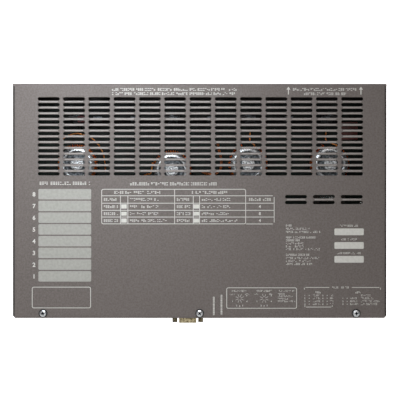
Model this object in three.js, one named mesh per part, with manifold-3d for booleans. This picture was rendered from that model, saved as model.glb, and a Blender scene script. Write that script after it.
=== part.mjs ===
// Wall-hung dimmer pack: a folded steel case with a perforated front cover,
// and the power and control parts inside.
// Millimetres. X runs to the right, Z up and Y back to the wall.
// The origin is the middle of the face on the wall.
import * as THREE from "three";
import { mergeVertices } from "three/addons/utils/BufferGeometryUtils.js";
import Module from "manifold-3d";

const wasm = await Module();
wasm.setup();

// Whole pack
const packWidth = 357;
const packHeight = 224;
const packDepth = 85;

// Fits
const fitGap = 0.3; // air between neighbouring pieces that seat on each other
const cutOverrun = 2; // how far each cutter runs past the face it opens

// Facets of round pieces and ends
const hexSides = 6;
const pinSides = 4;
const smallSides = 8;
const screwSides = 10;
const middleSides = 12;
const largeSides = 16;
const coreSides = 20;
const bendSteps = 3;
const cornerSteps = 2;
const holeEndSteps = 4;
const weldDistance = 0.0001;
const gapSamples = 4;
const gapReachShare = 8;

// Front cover
const coverSheet = 1.2;
const coverClearance = 0.3;
const coverBend = 2.2;
const coverFlange = 14;
const coverBottomFlange = 7;
const cornerSlit = 0.6;
const cornerRelief = 1.6;

// Punched vents of the cover
const slotLength = 20.8;
const slotWidth = 3.1;
const slotColumnPitch = 24.16;
const slotRowPitch = 5.5;
const slotColumns = 13;
const slotFieldShift = 0.75; // the field of slots lies a little right of the middle
const slotRows = 14;
const slotTopMargin = 14.65;
const slotEndSteps = 2; // straight facets in each round end of a slot
const sideSlotColumns = 3;
const sideSlotRows = 2;
const sideSlotColumnPitch = 26.7;
const sideSlotRightMargin = 33.4;
const sideSlotTopMargin = 108;

// Cover screws
const coverScrewInset = 4.7;
const coverScrewSideMargin = 29.1;
const coverScrewShank = 3;
const coverScrewLength = 6;
const coverScrewHead = 6;
const coverScrewHeadHeight = 2.1;
const coverScrewHeadEdge = 0.9;
const coverScrewCrownShare = 0.62;
const coverScrewCross = 3.4;
const coverScrewCrossWidth = 0.9;
const coverScrewCrossDepth = 1.3;
const coverHole = 3.7;
const coverMiddleHoleRise = 1.5;

// Chassis
const chassisSheet = 1.2;
const chassisBend = 1.6;
const chassisLip = 10;
const ventSlotWidth = 3.5;
const ventSlotLength = 40;
const ventSlotPitch = 30;
const topVentSlots = 10;
const bottomVentSlotLength = 30;
const bottomVentSlots = 6;
const bottomVentBackMargin = 9;
const keyholeInset = 34;
const keyholeDrop = 26;
const keyholeHead = 11;
const keyholeNeck = 5.5;
const keyholeRise = 10;
const lowerSlotLength = 12;
const earthStud = 5;
const earthStudLength = 13;
const earthStudCollar = 11;
const earthStudCollarHeight = 1.5;
const earthStudAcrossShare = -0.93;
const earthStudUpShare = -0.84;

// Board pillars
const pillarHeight = 10;
const pillarDiameter = 7;
const pillarInset = 5;
const pillarRowShares = [0, 0.638, 1];

// Power board
const boardThickness = 1.6;
const boardSideMargin = 6.8;
const boardTopMargin = 10.3;
const boardSpacing = 2.8; // between the lower edge of this board and the upper edge of the control board
const boardScrewHole = 3.4;

// Suppression chokes, placed as shares of half the chassis width and half its height
const chokeAcrossShares = [-0.688, -0.157, 0.272, 0.733];
const chokeUpShares = [0.33, 0.277, 0.33, 0.33];
const chokeGapTurnShares = [0.25, 0.5, 0.25, 0.25];
const coreOuterRadius = 18.3;
const coreInnerRadius = 9.6;
const coreHeight = 14;
const wireDiameter = 2;
const chokeTurns = 16;
const chokeTurnSteps = 8;
const wireSides = 5;
const woundShare = 0.9;
const wireCornerShare = 0.45;
const leadBendRadius = 1.9;
const leadBendSteps = 4;
const dishRadius = 17.6;
const dishFlatRadius = 7;
const dishRise = 3.4;
const dishSheet = 1;
const dishHole = 6.6;
const chokeBolt = 6;
const chokeBoltHead = 10;
const chokeBoltHeadHeight = 4;
const chokeNutHeight = 5;

// Heat sink angle and triacs
const heatSinkOverhang = 9; // past the middles of the outer triacs
const heatSinkThickness = 2.5;
const heatSinkReach = 30;
const heatSinkFoot = 8;
const heatSinkGrooveDepth = 0.6;
const heatSinkGrooveWidth = 1.6;
const heatSinkGrooves = 4;
const heatSinkUpShare = 0.7305;
const triacWidth = 15.5;
const triacBodyLength = 12;
const triacTabLength = 8;
const triacThickness = 4.6;
const triacTabThickness = 1.5;
const triacHole = 4.2;
const triacBackMargin = 7.5;
const triacLegWidth = 1.2;
const triacLegThickness = 0.7;
const triacLegPitch = 5.4;
const triacLegs = 3;

// Channel fuses in board clips
const fuseDiameter = 6.3;
const fuseLength = 32;
const fuseGlassDiameter = 5.6;
const fuseCapLength = 6.5;
const fuseStandoff = 2.4;
const fuseDrop = 3;
const clipWidth = 5;
const clipWall = 1.1;

// Terminal blocks
const supplyWays = 3;
const supplyWayPitch = 12;
const loadWays = 8;
const loadWayPitch = 9.5;
const terminalHeight = 14;
const terminalDepth = 16;
const terminalStep = 4;
const terminalEntry = 3.8;
const terminalEntryDepth = 8;
const terminalScrewHole = 3.9;
const terminalScrewDepth = 6;
const terminalEndWall = 2;
const terminalSideMargin = 8;
const terminalSpacing = 8;
const terminalBottomMargin = 3;

// Control transformer
const laminationWidth = 32;
const laminationHeight = 27;
const laminationStack = 12;
const laminationLeg = 5.5;
const laminationMiddleLeg = 9;
const bobbinOverhang = 5;
const bobbinFlange = 1;
const bobbinCoilInset = 1.4;
const transformerAcrossShare = 0.67;
const transformerUpShare = -0.22;

// Suppression capacitor
const capacitorWidth = 16.5;
const capacitorHeight = 18;
const capacitorDepth = 11;
const capacitorEdge = 1.2;
const capacitorAcrossShare = 0.845;
const capacitorRise = 5;

// Control board along the connector wall
const connectorSetback = 23; // cover front to the line of the connectors
const controlBoardOffset = 8.4;
const controlBoardLeftShare = -0.17;
const controlBoardRightMargin = 7;
const controlBoardHeight = 40;
const controlBoardBottomMargin = 4.5;
const controlPillarAcross = 6;
const controlPillarInset = 6;

// Nine-way input socket
const dsubAcrossShare = -0.0653;
const dsubFlangeWidth = 30.8;
const dsubFlangeHeight = 12.5;
const dsubFlangeSheet = 1.1;
const dsubShellWidth = 16.9;
const dsubShellHeight = 8.4;
const dsubShellWall = 0.5;
const dsubShellReach = 7.3;
const dsubTaperShare = 0.085;
const dsubInsertWidth = 20;
const dsubInsertHeight = 9;
const dsubInsertDepth = 9;
const dsubFaceSetback = 5;
const dsubPins = 9;
const dsubPinPitch = 2.77;
const dsubPinRowPitch = 2.84;
const dsubPinDiameter = 1;
const dsubPinLength = 3.8;
const jackscrewSpacing = 24.99;
const jackscrewAcross = 4.8;
const jackscrewReach = 5.4;
const jackscrewShank = 3;
const jackscrewShankLength = 5;
const jackscrewBore = 2.3;
const jackscrewBoreDepth = 4;

// Round control sockets
const dinAcrossShares = [0.217, 0.349];
const dinBodyWidth = 18;
const dinBodyDepth = 17;
const dinBodyHeight = 14;
const dinNoseRadius = 7.6;
const dinRecess = 1.6;
const dinRecessRadius = 6.6;
const dinPinHole = 1.7;
const dinPinCircle = 3.4;
const dinPins = 5;
const dinPinSweepShare = 0.5;

// Pair of data jacks
const jackAcrossShare = 0.6438;
const jackBodyWidth = 31;
const jackBodyDepth = 13.5;
const jackBodyHeight = 16;
const jackPitch = 15;
const jackOpeningWidth = 11.8;
const jackOpeningHeight = 6.9;
const jackLatchWidth = 5.2;
const jackLatchHeight = 2.2;
const jackOpeningDepth = 12;
const jackFrontWall = 2.4;

// Three-pin data socket
const xlrAcrossShare = 0.875;
const xlrBody = 24;
const xlrBodyHeight = 20;
const xlrNoseRadius = 11;
const xlrCavityRadius = 8.6;
const xlrCavityDepth = 15;
const xlrDiscThickness = 3;
const xlrPinDiameter = 2.4;
const xlrPinLength = 9;
const xlrPinCircle = 4.9;
const xlrPins = 3;

// Indicator lamps
const lampAcrossShares = [0.0773, 0.121];
const lampDiameter = 3;
const lampRim = 3.8;
const lampRimHeight = 1;
const lampLength = 5;
const lampPoke = 1.1;
const lampCrownShare = 0.7;
const lampCrownDropShare = 0.3;
const lampLeg = 0.6;
const lampLegPitch = 1.8;

// Address dials and input trimmer on the control board
const dialAcrossShares = [0.3, 0.385, 0.47];
const dialUpShare = 0.68;
const dialHousing = 10;
const dialHousingDepth = 5;
const dialDiameter = 7;
const dialSeatDepth = 1.4;
const dialStandProud = 0.6;
const dialSlotWidth = 1;
const dialSlotDepth = 0.9;
const dialArrowShare = 0.8;
const trimmerAcrossShare = 0.17;
const trimmerHousing = 7;
const trimmerDiameter = 4.6;

// Flat cable between the boards
const ribbonWidth = 24;
const ribbonThickness = 1.2;
const ribbonAcrossShare = 0.5;
const ribbonBoardInset = 6;
const ribbonPlugThickness = 4;
const ribbonPlugDepth = 6;
const ribbonSteps = 8;

// Cable entries with rubber grommets
const grommetAcrossShares = [-0.852, -0.67, -0.489, -0.307];
const grommetHole = 20;
const grommetBore = 14;
const grommetLip = 2.5;
const grommetInnerLipHeight = 1.6;
const grommetOuterLipHeight = 1.1;
const grommetDepthShare = 0.5;

// Worked-out frame
const chassisWidth = packWidth - 2 * (coverSheet + coverClearance);
const chassisHeight = packHeight - 2 * (coverSheet + coverClearance);
const chassisDepth = packDepth - coverSheet - coverClearance;
const halfWidth = chassisWidth / 2;
const halfHeight = chassisHeight / 2;
const backInner = -chassisSheet;
const wallBottom = -halfHeight;
const wallBottomInner = wallBottom + chassisSheet;
const coverFront = -packDepth;
const boardRear = backInner - pillarHeight - fitGap;
const boardFront = boardRear - boardThickness;
const boardTop = halfHeight - chassisSheet - boardTopMargin;
const boardHalfWidth = halfWidth - chassisSheet - boardSideMargin;
const seatOnBoard = boardFront - fitGap;
const connectorLine = coverFront + connectorSetback;
const controlFront = connectorLine + controlBoardOffset;
const controlRear = controlFront + boardThickness;
const seatOnControl = controlFront - fitGap;
const controlBottom = wallBottomInner + controlBoardBottomMargin;
const controlTop = controlBottom + controlBoardHeight;
const boardBottom = controlTop + boardSpacing;
const controlLeft = controlBoardLeftShare * halfWidth;
const controlRight = halfWidth - chassisSheet - controlBoardRightMargin;

const up = new THREE.Vector3(0, 0, 1);
const sideways = new THREE.Vector3(1, 0, 0);
const forward = new THREE.Vector3(0, -1, 0);
const fullTurn = 2 * Math.PI;
const quarterTurn = fullTurn / 4;

// Colours and finishes as the photograph shows them
function finish(color, roughness, metalness) {
  return new THREE.MeshStandardMaterial({ color, roughness, metalness });
}
const finishes = {
  powderCoat: () => finish(0x7c7671, 0.6, 0.2),
  darkCoat: () => finish(0x4b4643, 0.6, 0.2),
  zinc: () => finish(0xd8d8d4, 0.35, 0.9),
  passivated: () => finish(0xb3a268, 0.4, 0.85),
  board: () => finish(0x2f5b3a, 0.55, 0),
  ferrite: () => finish(0x3a3f3c, 0.7, 0.1),
  enamelledCopper: () => finish(0xc8602c, 0.35, 0.6),
  anodised: () => finish(0x232326, 0.5, 0.6),
  blackPlastic: () => finish(0x1c1c1d, 0.5, 0),
  glass: () => finish(0xd8dedb, 0.1, 0.1),
  greenPlastic: () => finish(0x3c7a4a, 0.5, 0),
  lamination: () => finish(0x6d6f72, 0.5, 0.7),
  redFilm: () => finish(0x7a2a20, 0.45, 0),
  rubber: () => finish(0x202022, 0.9, 0),
  redLens: () => finish(0xc03028, 0.2, 0),
  greenLens: () => finish(0x3f9a48, 0.2, 0),
  whitePlastic: () => finish(0xe6e4dc, 0.5, 0),
  ribbon: () => finish(0x9a9c9e, 0.6, 0),
};

// A closed geometry as a solid that can be joined and cut
function solid(geometry) {
  const bare = geometry.index ? geometry.toNonIndexed() : geometry.clone();
  bare.deleteAttribute("normal");
  bare.deleteAttribute("uv");
  const merged = mergeVertices(bare, weldDistance);
  return new wasm.Manifold(
    new wasm.Mesh({
      numProp: 3,
      vertProperties: merged.attributes.position.array,
      triVerts: new Uint32Array(merged.index.array),
    }),
  );
}

// A solid back as a geometry that three.js can draw
function drawn(piece) {
  const mesh = piece.getMesh();
  const geometry = new THREE.BufferGeometry();
  const points = new THREE.BufferAttribute(new Float32Array(mesh.vertProperties), mesh.numProp);
  geometry.setAttribute("position", points);
  geometry.setIndex(new THREE.BufferAttribute(new Uint32Array(mesh.triVerts), 1));
  const flat = geometry.toNonIndexed();
  flat.computeVertexNormals();
  return flat;
}

// A block between two corners
function block(low, high) {
  const size = new THREE.Vector3().subVectors(high, low);
  const geometry = new THREE.BoxGeometry(size.x, size.y, size.z);
  geometry.translate((low.x + high.x) / 2, (low.y + high.y) / 2, (low.z + high.z) / 2);
  return solid(geometry);
}

function at(x, y, z) {
  return new THREE.Vector3(x, y, z);
}

function outlineOf(points) {
  return new THREE.Shape(points.map(([u, v]) => new THREE.Vector2(u, v)));
}

function extruded(outline, length) {
  return new THREE.ExtrudeGeometry(outline, { depth: length, bevelEnabled: false, curveSegments: 1 });
}

// An outline drawn in X and Z, carried from the y that is nearer the wall towards the front
function prismAlongY(outline, nearWall, nearFront) {
  const basis = new THREE.Matrix4().makeBasis(sideways, up, forward);
  const geometry = extruded(outline, nearWall - nearFront);
  geometry.applyMatrix4(basis);
  geometry.translate(0, nearWall, 0);
  return solid(geometry);
}

// An outline drawn in X and Y, carried upwards
function prismAlongZ(outline, low, high) {
  const geometry = extruded(outline, high - low);
  geometry.translate(0, 0, low);
  return solid(geometry);
}

// An outline drawn in Y and Z, carried to the right
function prismAlongX(outline, left, right) {
  const basis = new THREE.Matrix4().makeBasis(at(0, 1, 0), up, sideways);
  const geometry = extruded(outline, right - left);
  geometry.applyMatrix4(basis);
  geometry.translate(left, 0, 0);
  return solid(geometry);
}

// A profile of radius and height turned about Y, or about Z when it stands up
function turned(profile, sides, standing = false) {
  const points = profile.map(([radius, height]) => new THREE.Vector2(radius, height));
  const geometry = new THREE.LatheGeometry(points, sides);
  if (standing) geometry.rotateX(quarterTurn);
  return solid(geometry);
}

function rod(radius, low, high, sides, standing = false) {
  return turned([[0, low], [radius, low], [radius, high], [0, high]], sides, standing);
}

// Corner points of a rounded rectangle, one radius for each corner from the lower left one round
function roundedRectangle(left, right, low, high, radii, steps) {
  const corners = [
    [left, low, 1, 1, 2 * quarterTurn],
    [right, low, -1, 1, 3 * quarterTurn],
    [right, high, -1, -1, 0],
    [left, high, 1, -1, quarterTurn],
  ];
  const points = [];
  corners.forEach(([u, v, inU, inV, start], corner) => {
    const radius = radii[corner];
    if (radius === 0) {
      points.push([u, v]);
      return;
    }
    for (let step = 0; step <= steps; step += 1) {
      const angle = start + (step / steps) * quarterTurn;
      const across = u + inU * radius + radius * Math.cos(angle);
      points.push([across, v + inV * radius + radius * Math.sin(angle)]);
    }
  });
  return points;
}

// A slot with round ends, lying along the first direction of its outline
function obround(u, v, length, width, steps) {
  const straight = (length - width) / 2;
  const points = [];
  for (const side of [1, -1]) {
    for (let step = 0; step <= steps; step += 1) {
      const angle = (2 * step / steps - 1) * quarterTurn;
      const across = side * (straight + (width / 2) * Math.cos(angle));
      points.push([u + across, v + side * (width / 2) * Math.sin(angle)]);
    }
  }
  return points;
}

function polygon(u, v, radius, sides) {
  const points = [];
  for (let side = 0; side < sides; side += 1) {
    const angle = (side / sides) * fullTurn - quarterTurn;
    points.push([u + radius * Math.cos(angle), v + radius * Math.sin(angle)]);
  }
  return points;
}

function union(pieces) {
  return pieces.reduce((whole, piece) => whole.add(piece));
}

function cutAll(piece, cutters) {
  return cutters.length ? piece.subtract(union(cutters)) : piece;
}

// A closed block of sheet-metal outline: square in X and Z,
// with its front and back edges rounded by the bends
function foldedBlock(width, height, back, front, backBend, frontBend, inset) {
  const halfAcross = width / 2 - inset;
  const halfUp = height / 2 - inset;
  const radii = [frontBend, frontBend, backBend, backBend];
  const plan = roundedRectangle(-halfAcross, halfAcross, front, back, radii, bendSteps);
  const bends = [frontBend, backBend, backBend, frontBend];
  const side = roundedRectangle(front, back, -halfUp, halfUp, bends, bendSteps);
  const acrossBlock = prismAlongZ(outlineOf(plan), -halfUp, halfUp);
  const upBlock = prismAlongX(outlineOf(side), -halfAcross, halfAcross);
  return acrossBlock.intersect(upBlock);
}

// The radius at the corners of a hexagon of that size across its flats
function hexRadius(acrossFlats) {
  return acrossFlats / 2 / Math.cos(Math.PI / hexSides);
}

const root = new THREE.Group();
root.name = "dimmer_pack";

function place(parent, name, piece, material, x = 0, y = 0, z = 0) {
  const mesh = new THREE.Mesh(drawn(piece), material());
  mesh.name = name;
  mesh.position.set(x, y, z);
  parent.add(mesh);
  return mesh;
}

// Places shared by the cover and the chassis
const coverScrewAcross = packWidth / 2 - coverScrewSideMargin;
const coverScrewUp = -packHeight / 2 + coverScrewInset;
const coverScrews = [
  { name: "cover_screw_left", across: -coverScrewAcross, rise: 0 },
  { name: "cover_screw_middle", across: 0, rise: coverMiddleHoleRise },
  { name: "cover_screw_right", across: coverScrewAcross, rise: 0 },
];

// Front cover: one sheet folded back on four sides, punched with rows of slots
function slotPlaces() {
  const places = [];
  for (let row = 0; row < slotRows; row += 1) {
    const z = packHeight / 2 - slotTopMargin - row * slotRowPitch;
    for (let column = 0; column < slotColumns; column += 1) {
      places.push([slotFieldShift + (column - (slotColumns - 1) / 2) * slotColumnPitch, z]);
    }
  }
  for (let row = 0; row < sideSlotRows; row += 1) {
    const z = packHeight / 2 - sideSlotTopMargin - row * slotRowPitch;
    for (let column = 0; column < sideSlotColumns; column += 1) {
      places.push([packWidth / 2 - sideSlotRightMargin - column * sideSlotColumnPitch, z]);
    }
  }
  return places;
}

function makeCover() {
  const flangeBack = coverFront + coverFlange;
  const outer = foldedBlock(packWidth, packHeight, flangeBack, coverFront, 0, coverBend, 0);
  const innerBend = coverBend - coverSheet;
  const innerFront = coverFront + coverSheet;
  const hollow = foldedBlock(
    packWidth, packHeight, flangeBack + cutOverrun, innerFront, 0, innerBend, coverSheet,
  );
  const cutters = [hollow];
  const halfAcross = packWidth / 2;
  const halfUp = packHeight / 2;
  cutters.push(
    block(
      at(-halfAcross + coverSheet, coverFront + coverBottomFlange, -halfUp - cutOverrun),
      at(halfAcross - coverSheet, flangeBack + cutOverrun, -halfUp + coverSheet + coverClearance),
    ),
  );
  for (const side of [-1, 1]) {
    for (const end of [-1, 1]) {
      const slitOuter = side * (halfAcross - coverSheet);
      const slitInner = slitOuter - side * cornerSlit;
      const slitLow = end * (halfUp - coverSheet - cutOverrun);
      const slitHigh = end * (halfUp + cutOverrun);
      cutters.push(
        block(
          at(Math.min(slitOuter, slitInner), coverFront + coverBend, Math.min(slitLow, slitHigh)),
          at(Math.max(slitOuter, slitInner), flangeBack + cutOverrun, Math.max(slitLow, slitHigh)),
        ),
      );
    }
    const chamfer = outlineOf([
      [side * halfAcross, -halfUp],
      [side * (halfAcross - cornerRelief), -halfUp],
      [side * halfAcross, -halfUp + cornerRelief],
    ]);
    cutters.push(prismAlongY(chamfer, coverFront + coverBend, coverFront - cutOverrun));
  }
  for (const [x, z] of slotPlaces()) {
    const slot = outlineOf(obround(x, z, slotLength, slotWidth, slotEndSteps));
    cutters.push(prismAlongY(slot, innerFront + cutOverrun, coverFront - cutOverrun));
  }
  for (const { across, rise } of coverScrews) {
    const points = obround(coverScrewUp + rise / 2, -across, coverHole + rise, coverHole, holeEndSteps);
    const hole = outlineOf(points.map(([v, u]) => [-u, v]));
    cutters.push(prismAlongY(hole, innerFront + cutOverrun, coverFront - cutOverrun));
  }
  return cutAll(outer, cutters);
}

const coverGroup = new THREE.Group();
root.add(coverGroup);
place(coverGroup, "front_cover", makeCover(), finishes.powderCoat);

// Pan-headed screw with a cross recess, head to the front
function makeCoverScrew() {
  const headRadius = coverScrewHead / 2;
  const crownRadius = headRadius * coverScrewCrownShare;
  const profile = [
    [0, -coverScrewHeadHeight],
    [crownRadius, -coverScrewHeadHeight],
    [headRadius, -coverScrewHeadEdge],
    [headRadius, 0],
    [coverScrewShank / 2, 0],
    [coverScrewShank / 2, coverScrewLength],
    [0, coverScrewLength],
  ];
  const body = turned(profile, screwSides);
  const recessFront = -coverScrewHeadHeight - cutOverrun;
  const recessBack = -coverScrewHeadHeight + coverScrewCrossDepth;
  const long = coverScrewCross / 2;
  const short = coverScrewCrossWidth / 2;
  const upright = block(at(-short, recessFront, -long), at(short, recessBack, long));
  const level = block(at(-long, recessFront, -short), at(long, recessBack, short));
  return body.subtract(upright.add(level));
}

const coverScrewSolid = makeCoverScrew();
for (const { name, across } of coverScrews) {
  place(coverGroup, name, coverScrewSolid, finishes.zinc, across, coverFront - fitGap, coverScrewUp);
}

// Sockets on the connector wall, worked out once for the wall's cut-outs and for the pieces
const dsubAcross = dsubAcrossShare * halfWidth;
const dinPlaces = dinAcrossShares.map((share) => share * halfWidth);
const dinCentre = seatOnControl - dinBodyDepth / 2;
const jackAcross = jackAcrossShare * halfWidth;
const xlrAcross = xlrAcrossShare * halfWidth;
const xlrCentre = seatOnControl - xlrBody / 2;
const lampPlaces = lampAcrossShares.map((share) => share * halfWidth);
const grommetPlaces = grommetAcrossShares.map((share) => share * halfWidth);
const grommetLine = -grommetDepthShare * chassisDepth;

// D-shaped outline of the nine-way socket, its long side to the front
function dOutline(across, along, width, height) {
  const taper = dsubTaperShare * width;
  return [
    [across - width / 2, along - height / 2],
    [across + width / 2, along - height / 2],
    [across + width / 2 - taper, along + height / 2],
    [across - width / 2 + taper, along + height / 2],
  ];
}

function connectorCutters() {
  const low = wallBottom - cutOverrun;
  const high = wallBottomInner + cutOverrun;
  const cutters = [];
  const through = (points) => cutters.push(prismAlongZ(outlineOf(points), low, high));
  const gap = 2 * fitGap;
  through(dOutline(dsubAcross, connectorLine, dsubInsertWidth + gap, dsubInsertHeight + gap));
  for (const side of [-1, 1]) {
    const across = dsubAcross + (side * jackscrewSpacing) / 2;
    through(polygon(across, connectorLine, jackscrewShank / 2 + fitGap, smallSides));
  }
  for (const across of dinPlaces) {
    through(polygon(across, dinCentre, dinNoseRadius + fitGap, middleSides));
  }
  through(
    roundedRectangle(
      jackAcross - jackBodyWidth / 2 - fitGap,
      jackAcross + jackBodyWidth / 2 + fitGap,
      seatOnControl - jackBodyDepth - fitGap,
      seatOnControl + fitGap,
      [0, 0, 0, 0],
      1,
    ),
  );
  through(polygon(xlrAcross, xlrCentre, xlrNoseRadius + fitGap, largeSides));
  for (const across of lampPlaces) {
    through(polygon(across, connectorLine, lampDiameter / 2 + fitGap, smallSides));
  }
  for (const across of grommetPlaces) {
    through(polygon(across, grommetLine, grommetHole / 2, middleSides));
  }
  const ventMiddle = -(bottomVentBackMargin + bottomVentSlotLength / 2);
  for (let slot = 0; slot < bottomVentSlots; slot += 1) {
    const across = dsubAcross + slot * ventSlotPitch;
    const points = obround(ventMiddle, -across, bottomVentSlotLength, ventSlotWidth, slotEndSteps);
    through(points.map(([v, u]) => [-u, v]));
  }
  return cutters;
}

// Wall fixings: two keyholes above and two plain slots below
function wallFixingCutters() {
  const cutters = [];
  const through = (points) => {
    cutters.push(prismAlongY(outlineOf(points), cutOverrun, backInner - cutOverrun));
  };
  const upper = halfHeight - keyholeDrop;
  for (const side of [-1, 1]) {
    const across = side * (halfWidth - keyholeInset);
    through(polygon(across, upper, keyholeHead / 2, middleSides));
    const neck = obround(
      upper + keyholeRise / 2, -across, keyholeRise + keyholeNeck, keyholeNeck, holeEndSteps,
    );
    through(neck.map(([v, u]) => [-u, v]));
    const slot = obround(-upper, -across, lowerSlotLength, keyholeNeck, holeEndSteps);
    through(slot.map(([v, u]) => [-u, v]));
  }
  return cutters;
}

function pillarPlaces() {
  const left = -boardHalfWidth + pillarInset;
  const right = boardHalfWidth - pillarInset;
  const top = boardTop - pillarInset;
  const bottom = boardBottom + pillarInset;
  const places = [];
  for (const x of [left, 0, right]) {
    for (const share of pillarRowShares) {
      places.push([x, top + share * (bottom - top)]);
    }
  }
  return places;
}

// Chassis: a folded tray with lips round its open front, pressed-in pillars and an earth stud
function makeChassis() {
  const outer = foldedBlock(chassisWidth, chassisHeight, 0, -chassisDepth, chassisBend, chassisBend, 0);
  const innerBend = chassisBend - chassisSheet;
  const lipInner = -chassisDepth + chassisSheet;
  const hollow = foldedBlock(
    chassisWidth, chassisHeight, backInner, lipInner, innerBend, innerBend, chassisSheet,
  );
  const mouth = block(
    at(-halfWidth + chassisLip, -chassisDepth - cutOverrun, -halfHeight + chassisLip),
    at(halfWidth - chassisLip, lipInner + cutOverrun, halfHeight - chassisLip),
  );
  const cutters = [hollow, mouth, ...connectorCutters(), ...wallFixingCutters()];
  for (let slot = 0; slot < topVentSlots; slot += 1) {
    const across = (slot - (topVentSlots - 1) / 2) * ventSlotPitch;
    const points = obround(-chassisDepth / 2, -across, ventSlotLength, ventSlotWidth, slotEndSteps);
    const outline = outlineOf(points.map(([v, u]) => [-u, v]));
    cutters.push(prismAlongZ(outline, halfHeight - chassisSheet - cutOverrun, halfHeight + cutOverrun));
  }
  for (const { across } of coverScrews) {
    const hole = outlineOf(polygon(across, coverScrewUp, coverScrewShank / 2 + fitGap, smallSides));
    cutters.push(prismAlongY(hole, lipInner + chassisSheet / 2, -chassisDepth - cutOverrun));
  }
  const tray = cutAll(outer, cutters);
  const fixed = [];
  for (const [x, z] of pillarPlaces()) {
    const pillar = outlineOf(polygon(x, z, pillarDiameter / 2, hexSides));
    fixed.push(prismAlongY(pillar, backInner / 2, backInner - pillarHeight));
  }
  const studX = earthStudAcrossShare * halfWidth;
  const studZ = earthStudUpShare * halfHeight;
  const collar = outlineOf(polygon(studX, studZ, earthStudCollar / 2, hexSides));
  fixed.push(prismAlongY(collar, backInner / 2, backInner - earthStudCollarHeight));
  const stud = outlineOf(polygon(studX, studZ, earthStud / 2, smallSides));
  fixed.push(prismAlongY(stud, backInner / 2, backInner - earthStudLength));
  return tray.add(union(fixed));
}

place(root, "chassis", makeChassis(), finishes.darkCoat);

// Power board with its fuse clips soldered on
const chokePlaces = chokeAcrossShares.map((share, index) => ({
  number: index + 1,
  x: share * halfWidth,
  z: chokeUpShares[index] * halfHeight,
  gapTurn: chokeGapTurnShares[index],
}));
const wireOffset = wireDiameter / 2 + fitGap;
const woundOuterRadius = coreOuterRadius + wireOffset + wireDiameter / 2;
const lowestChoke = Math.min(...chokePlaces.map(({ z }) => z));
const clipSide = fuseDiameter + 2 * (fitGap + clipWall);
const fuseRow = lowestChoke - woundOuterRadius - fuseDrop - clipSide / 2;
const fuseLine = boardFront - fuseStandoff - fuseDiameter / 2;

function fuseClip(x) {
  const side = clipSide / 2;
  const front = fuseLine - fuseDiameter / 2;
  const body = block(at(x - clipWidth / 2, front, -side), at(x + clipWidth / 2, boardRear, side));
  const channel = fuseDiameter / 2 + fitGap;
  const mouth = block(
    at(x - clipWidth, front - cutOverrun, -channel),
    at(x + clipWidth, fuseLine + fuseDiameter / 2 + fitGap, channel),
  );
  return body.subtract(mouth);
}

function makePowerBoard() {
  const plate = outlineOf([
    [-boardHalfWidth, boardBottom],
    [boardHalfWidth, boardBottom],
    [boardHalfWidth, boardTop],
    [-boardHalfWidth, boardTop],
  ]);
  for (const { x, z } of chokePlaces) {
    const hole = outlineOf(polygon(x, z, chokeBolt / 2 + fitGap, smallSides));
    plate.holes.push(new THREE.Path(hole.getPoints()));
  }
  const pieces = [prismAlongY(plate, boardRear, boardFront)];
  const clipShift = (fuseLength - fuseCapLength) / 2;
  for (const { x } of chokePlaces) {
    for (const side of [-1, 1]) {
      pieces.push(fuseClip(x + side * clipShift).translate([0, 0, fuseRow]));
    }
  }
  return union(pieces);
}

place(root, "power_board", makePowerBoard(), finishes.board);

// Chokes: a ring core, its winding, a dished washer and the bolt that clamps them to the board
const windingHalfHeight = coreHeight / 2 + wireOffset;
const chokeMiddle = seatOnBoard - windingHalfHeight - wireDiameter / 2;

// The wire's middle line, in radius, depth and turn, wound round the ring from one lead to the other
function windingPath(gapTurn) {
  const outer = coreOuterRadius + wireOffset;
  const inner = coreInnerRadius - wireOffset;
  const corner = wireCornerShare * 2 * wireOffset;
  const front = -windingHalfHeight;
  const back = windingHalfHeight;
  const leadEnd = back + wireDiameter / 2;
  const section = [
    [outer, back - corner],
    [outer, front + corner],
    [outer - corner, front],
    [inner + corner, front],
    [inner, front + corner],
    [inner, back - corner],
    [inner + corner, back],
    [outer - corner, back],
  ];
  const startTurn = gapTurn + (1 - woundShare) / 2;
  const points = [];
  const add = (radius, depth, turn) => {
    const angle = turn * fullTurn;
    points.push(at(radius * Math.cos(angle), depth, radius * Math.sin(angle)));
  };
  add(outer, leadEnd, startTurn);
  const steps = chokeTurns * chokeTurnSteps;
  for (let step = 1; step <= steps + 1; step += 1) {
    const [radius, depth] = section[step % chokeTurnSteps];
    add(radius, depth, startTurn + (woundShare * (step - 1)) / steps);
  }
  const endTurn = startTurn + woundShare;
  for (let step = 1; step <= leadBendSteps; step += 1) {
    const angle = (step / leadBendSteps) * Math.PI;
    const radius = outer + leadBendRadius * (1 - Math.cos(angle));
    add(radius, front + corner - leadBendRadius * Math.sin(angle), endTurn);
  }
  add(outer + 2 * leadBendRadius, leadEnd, endTurn);
  return points;
}

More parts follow.
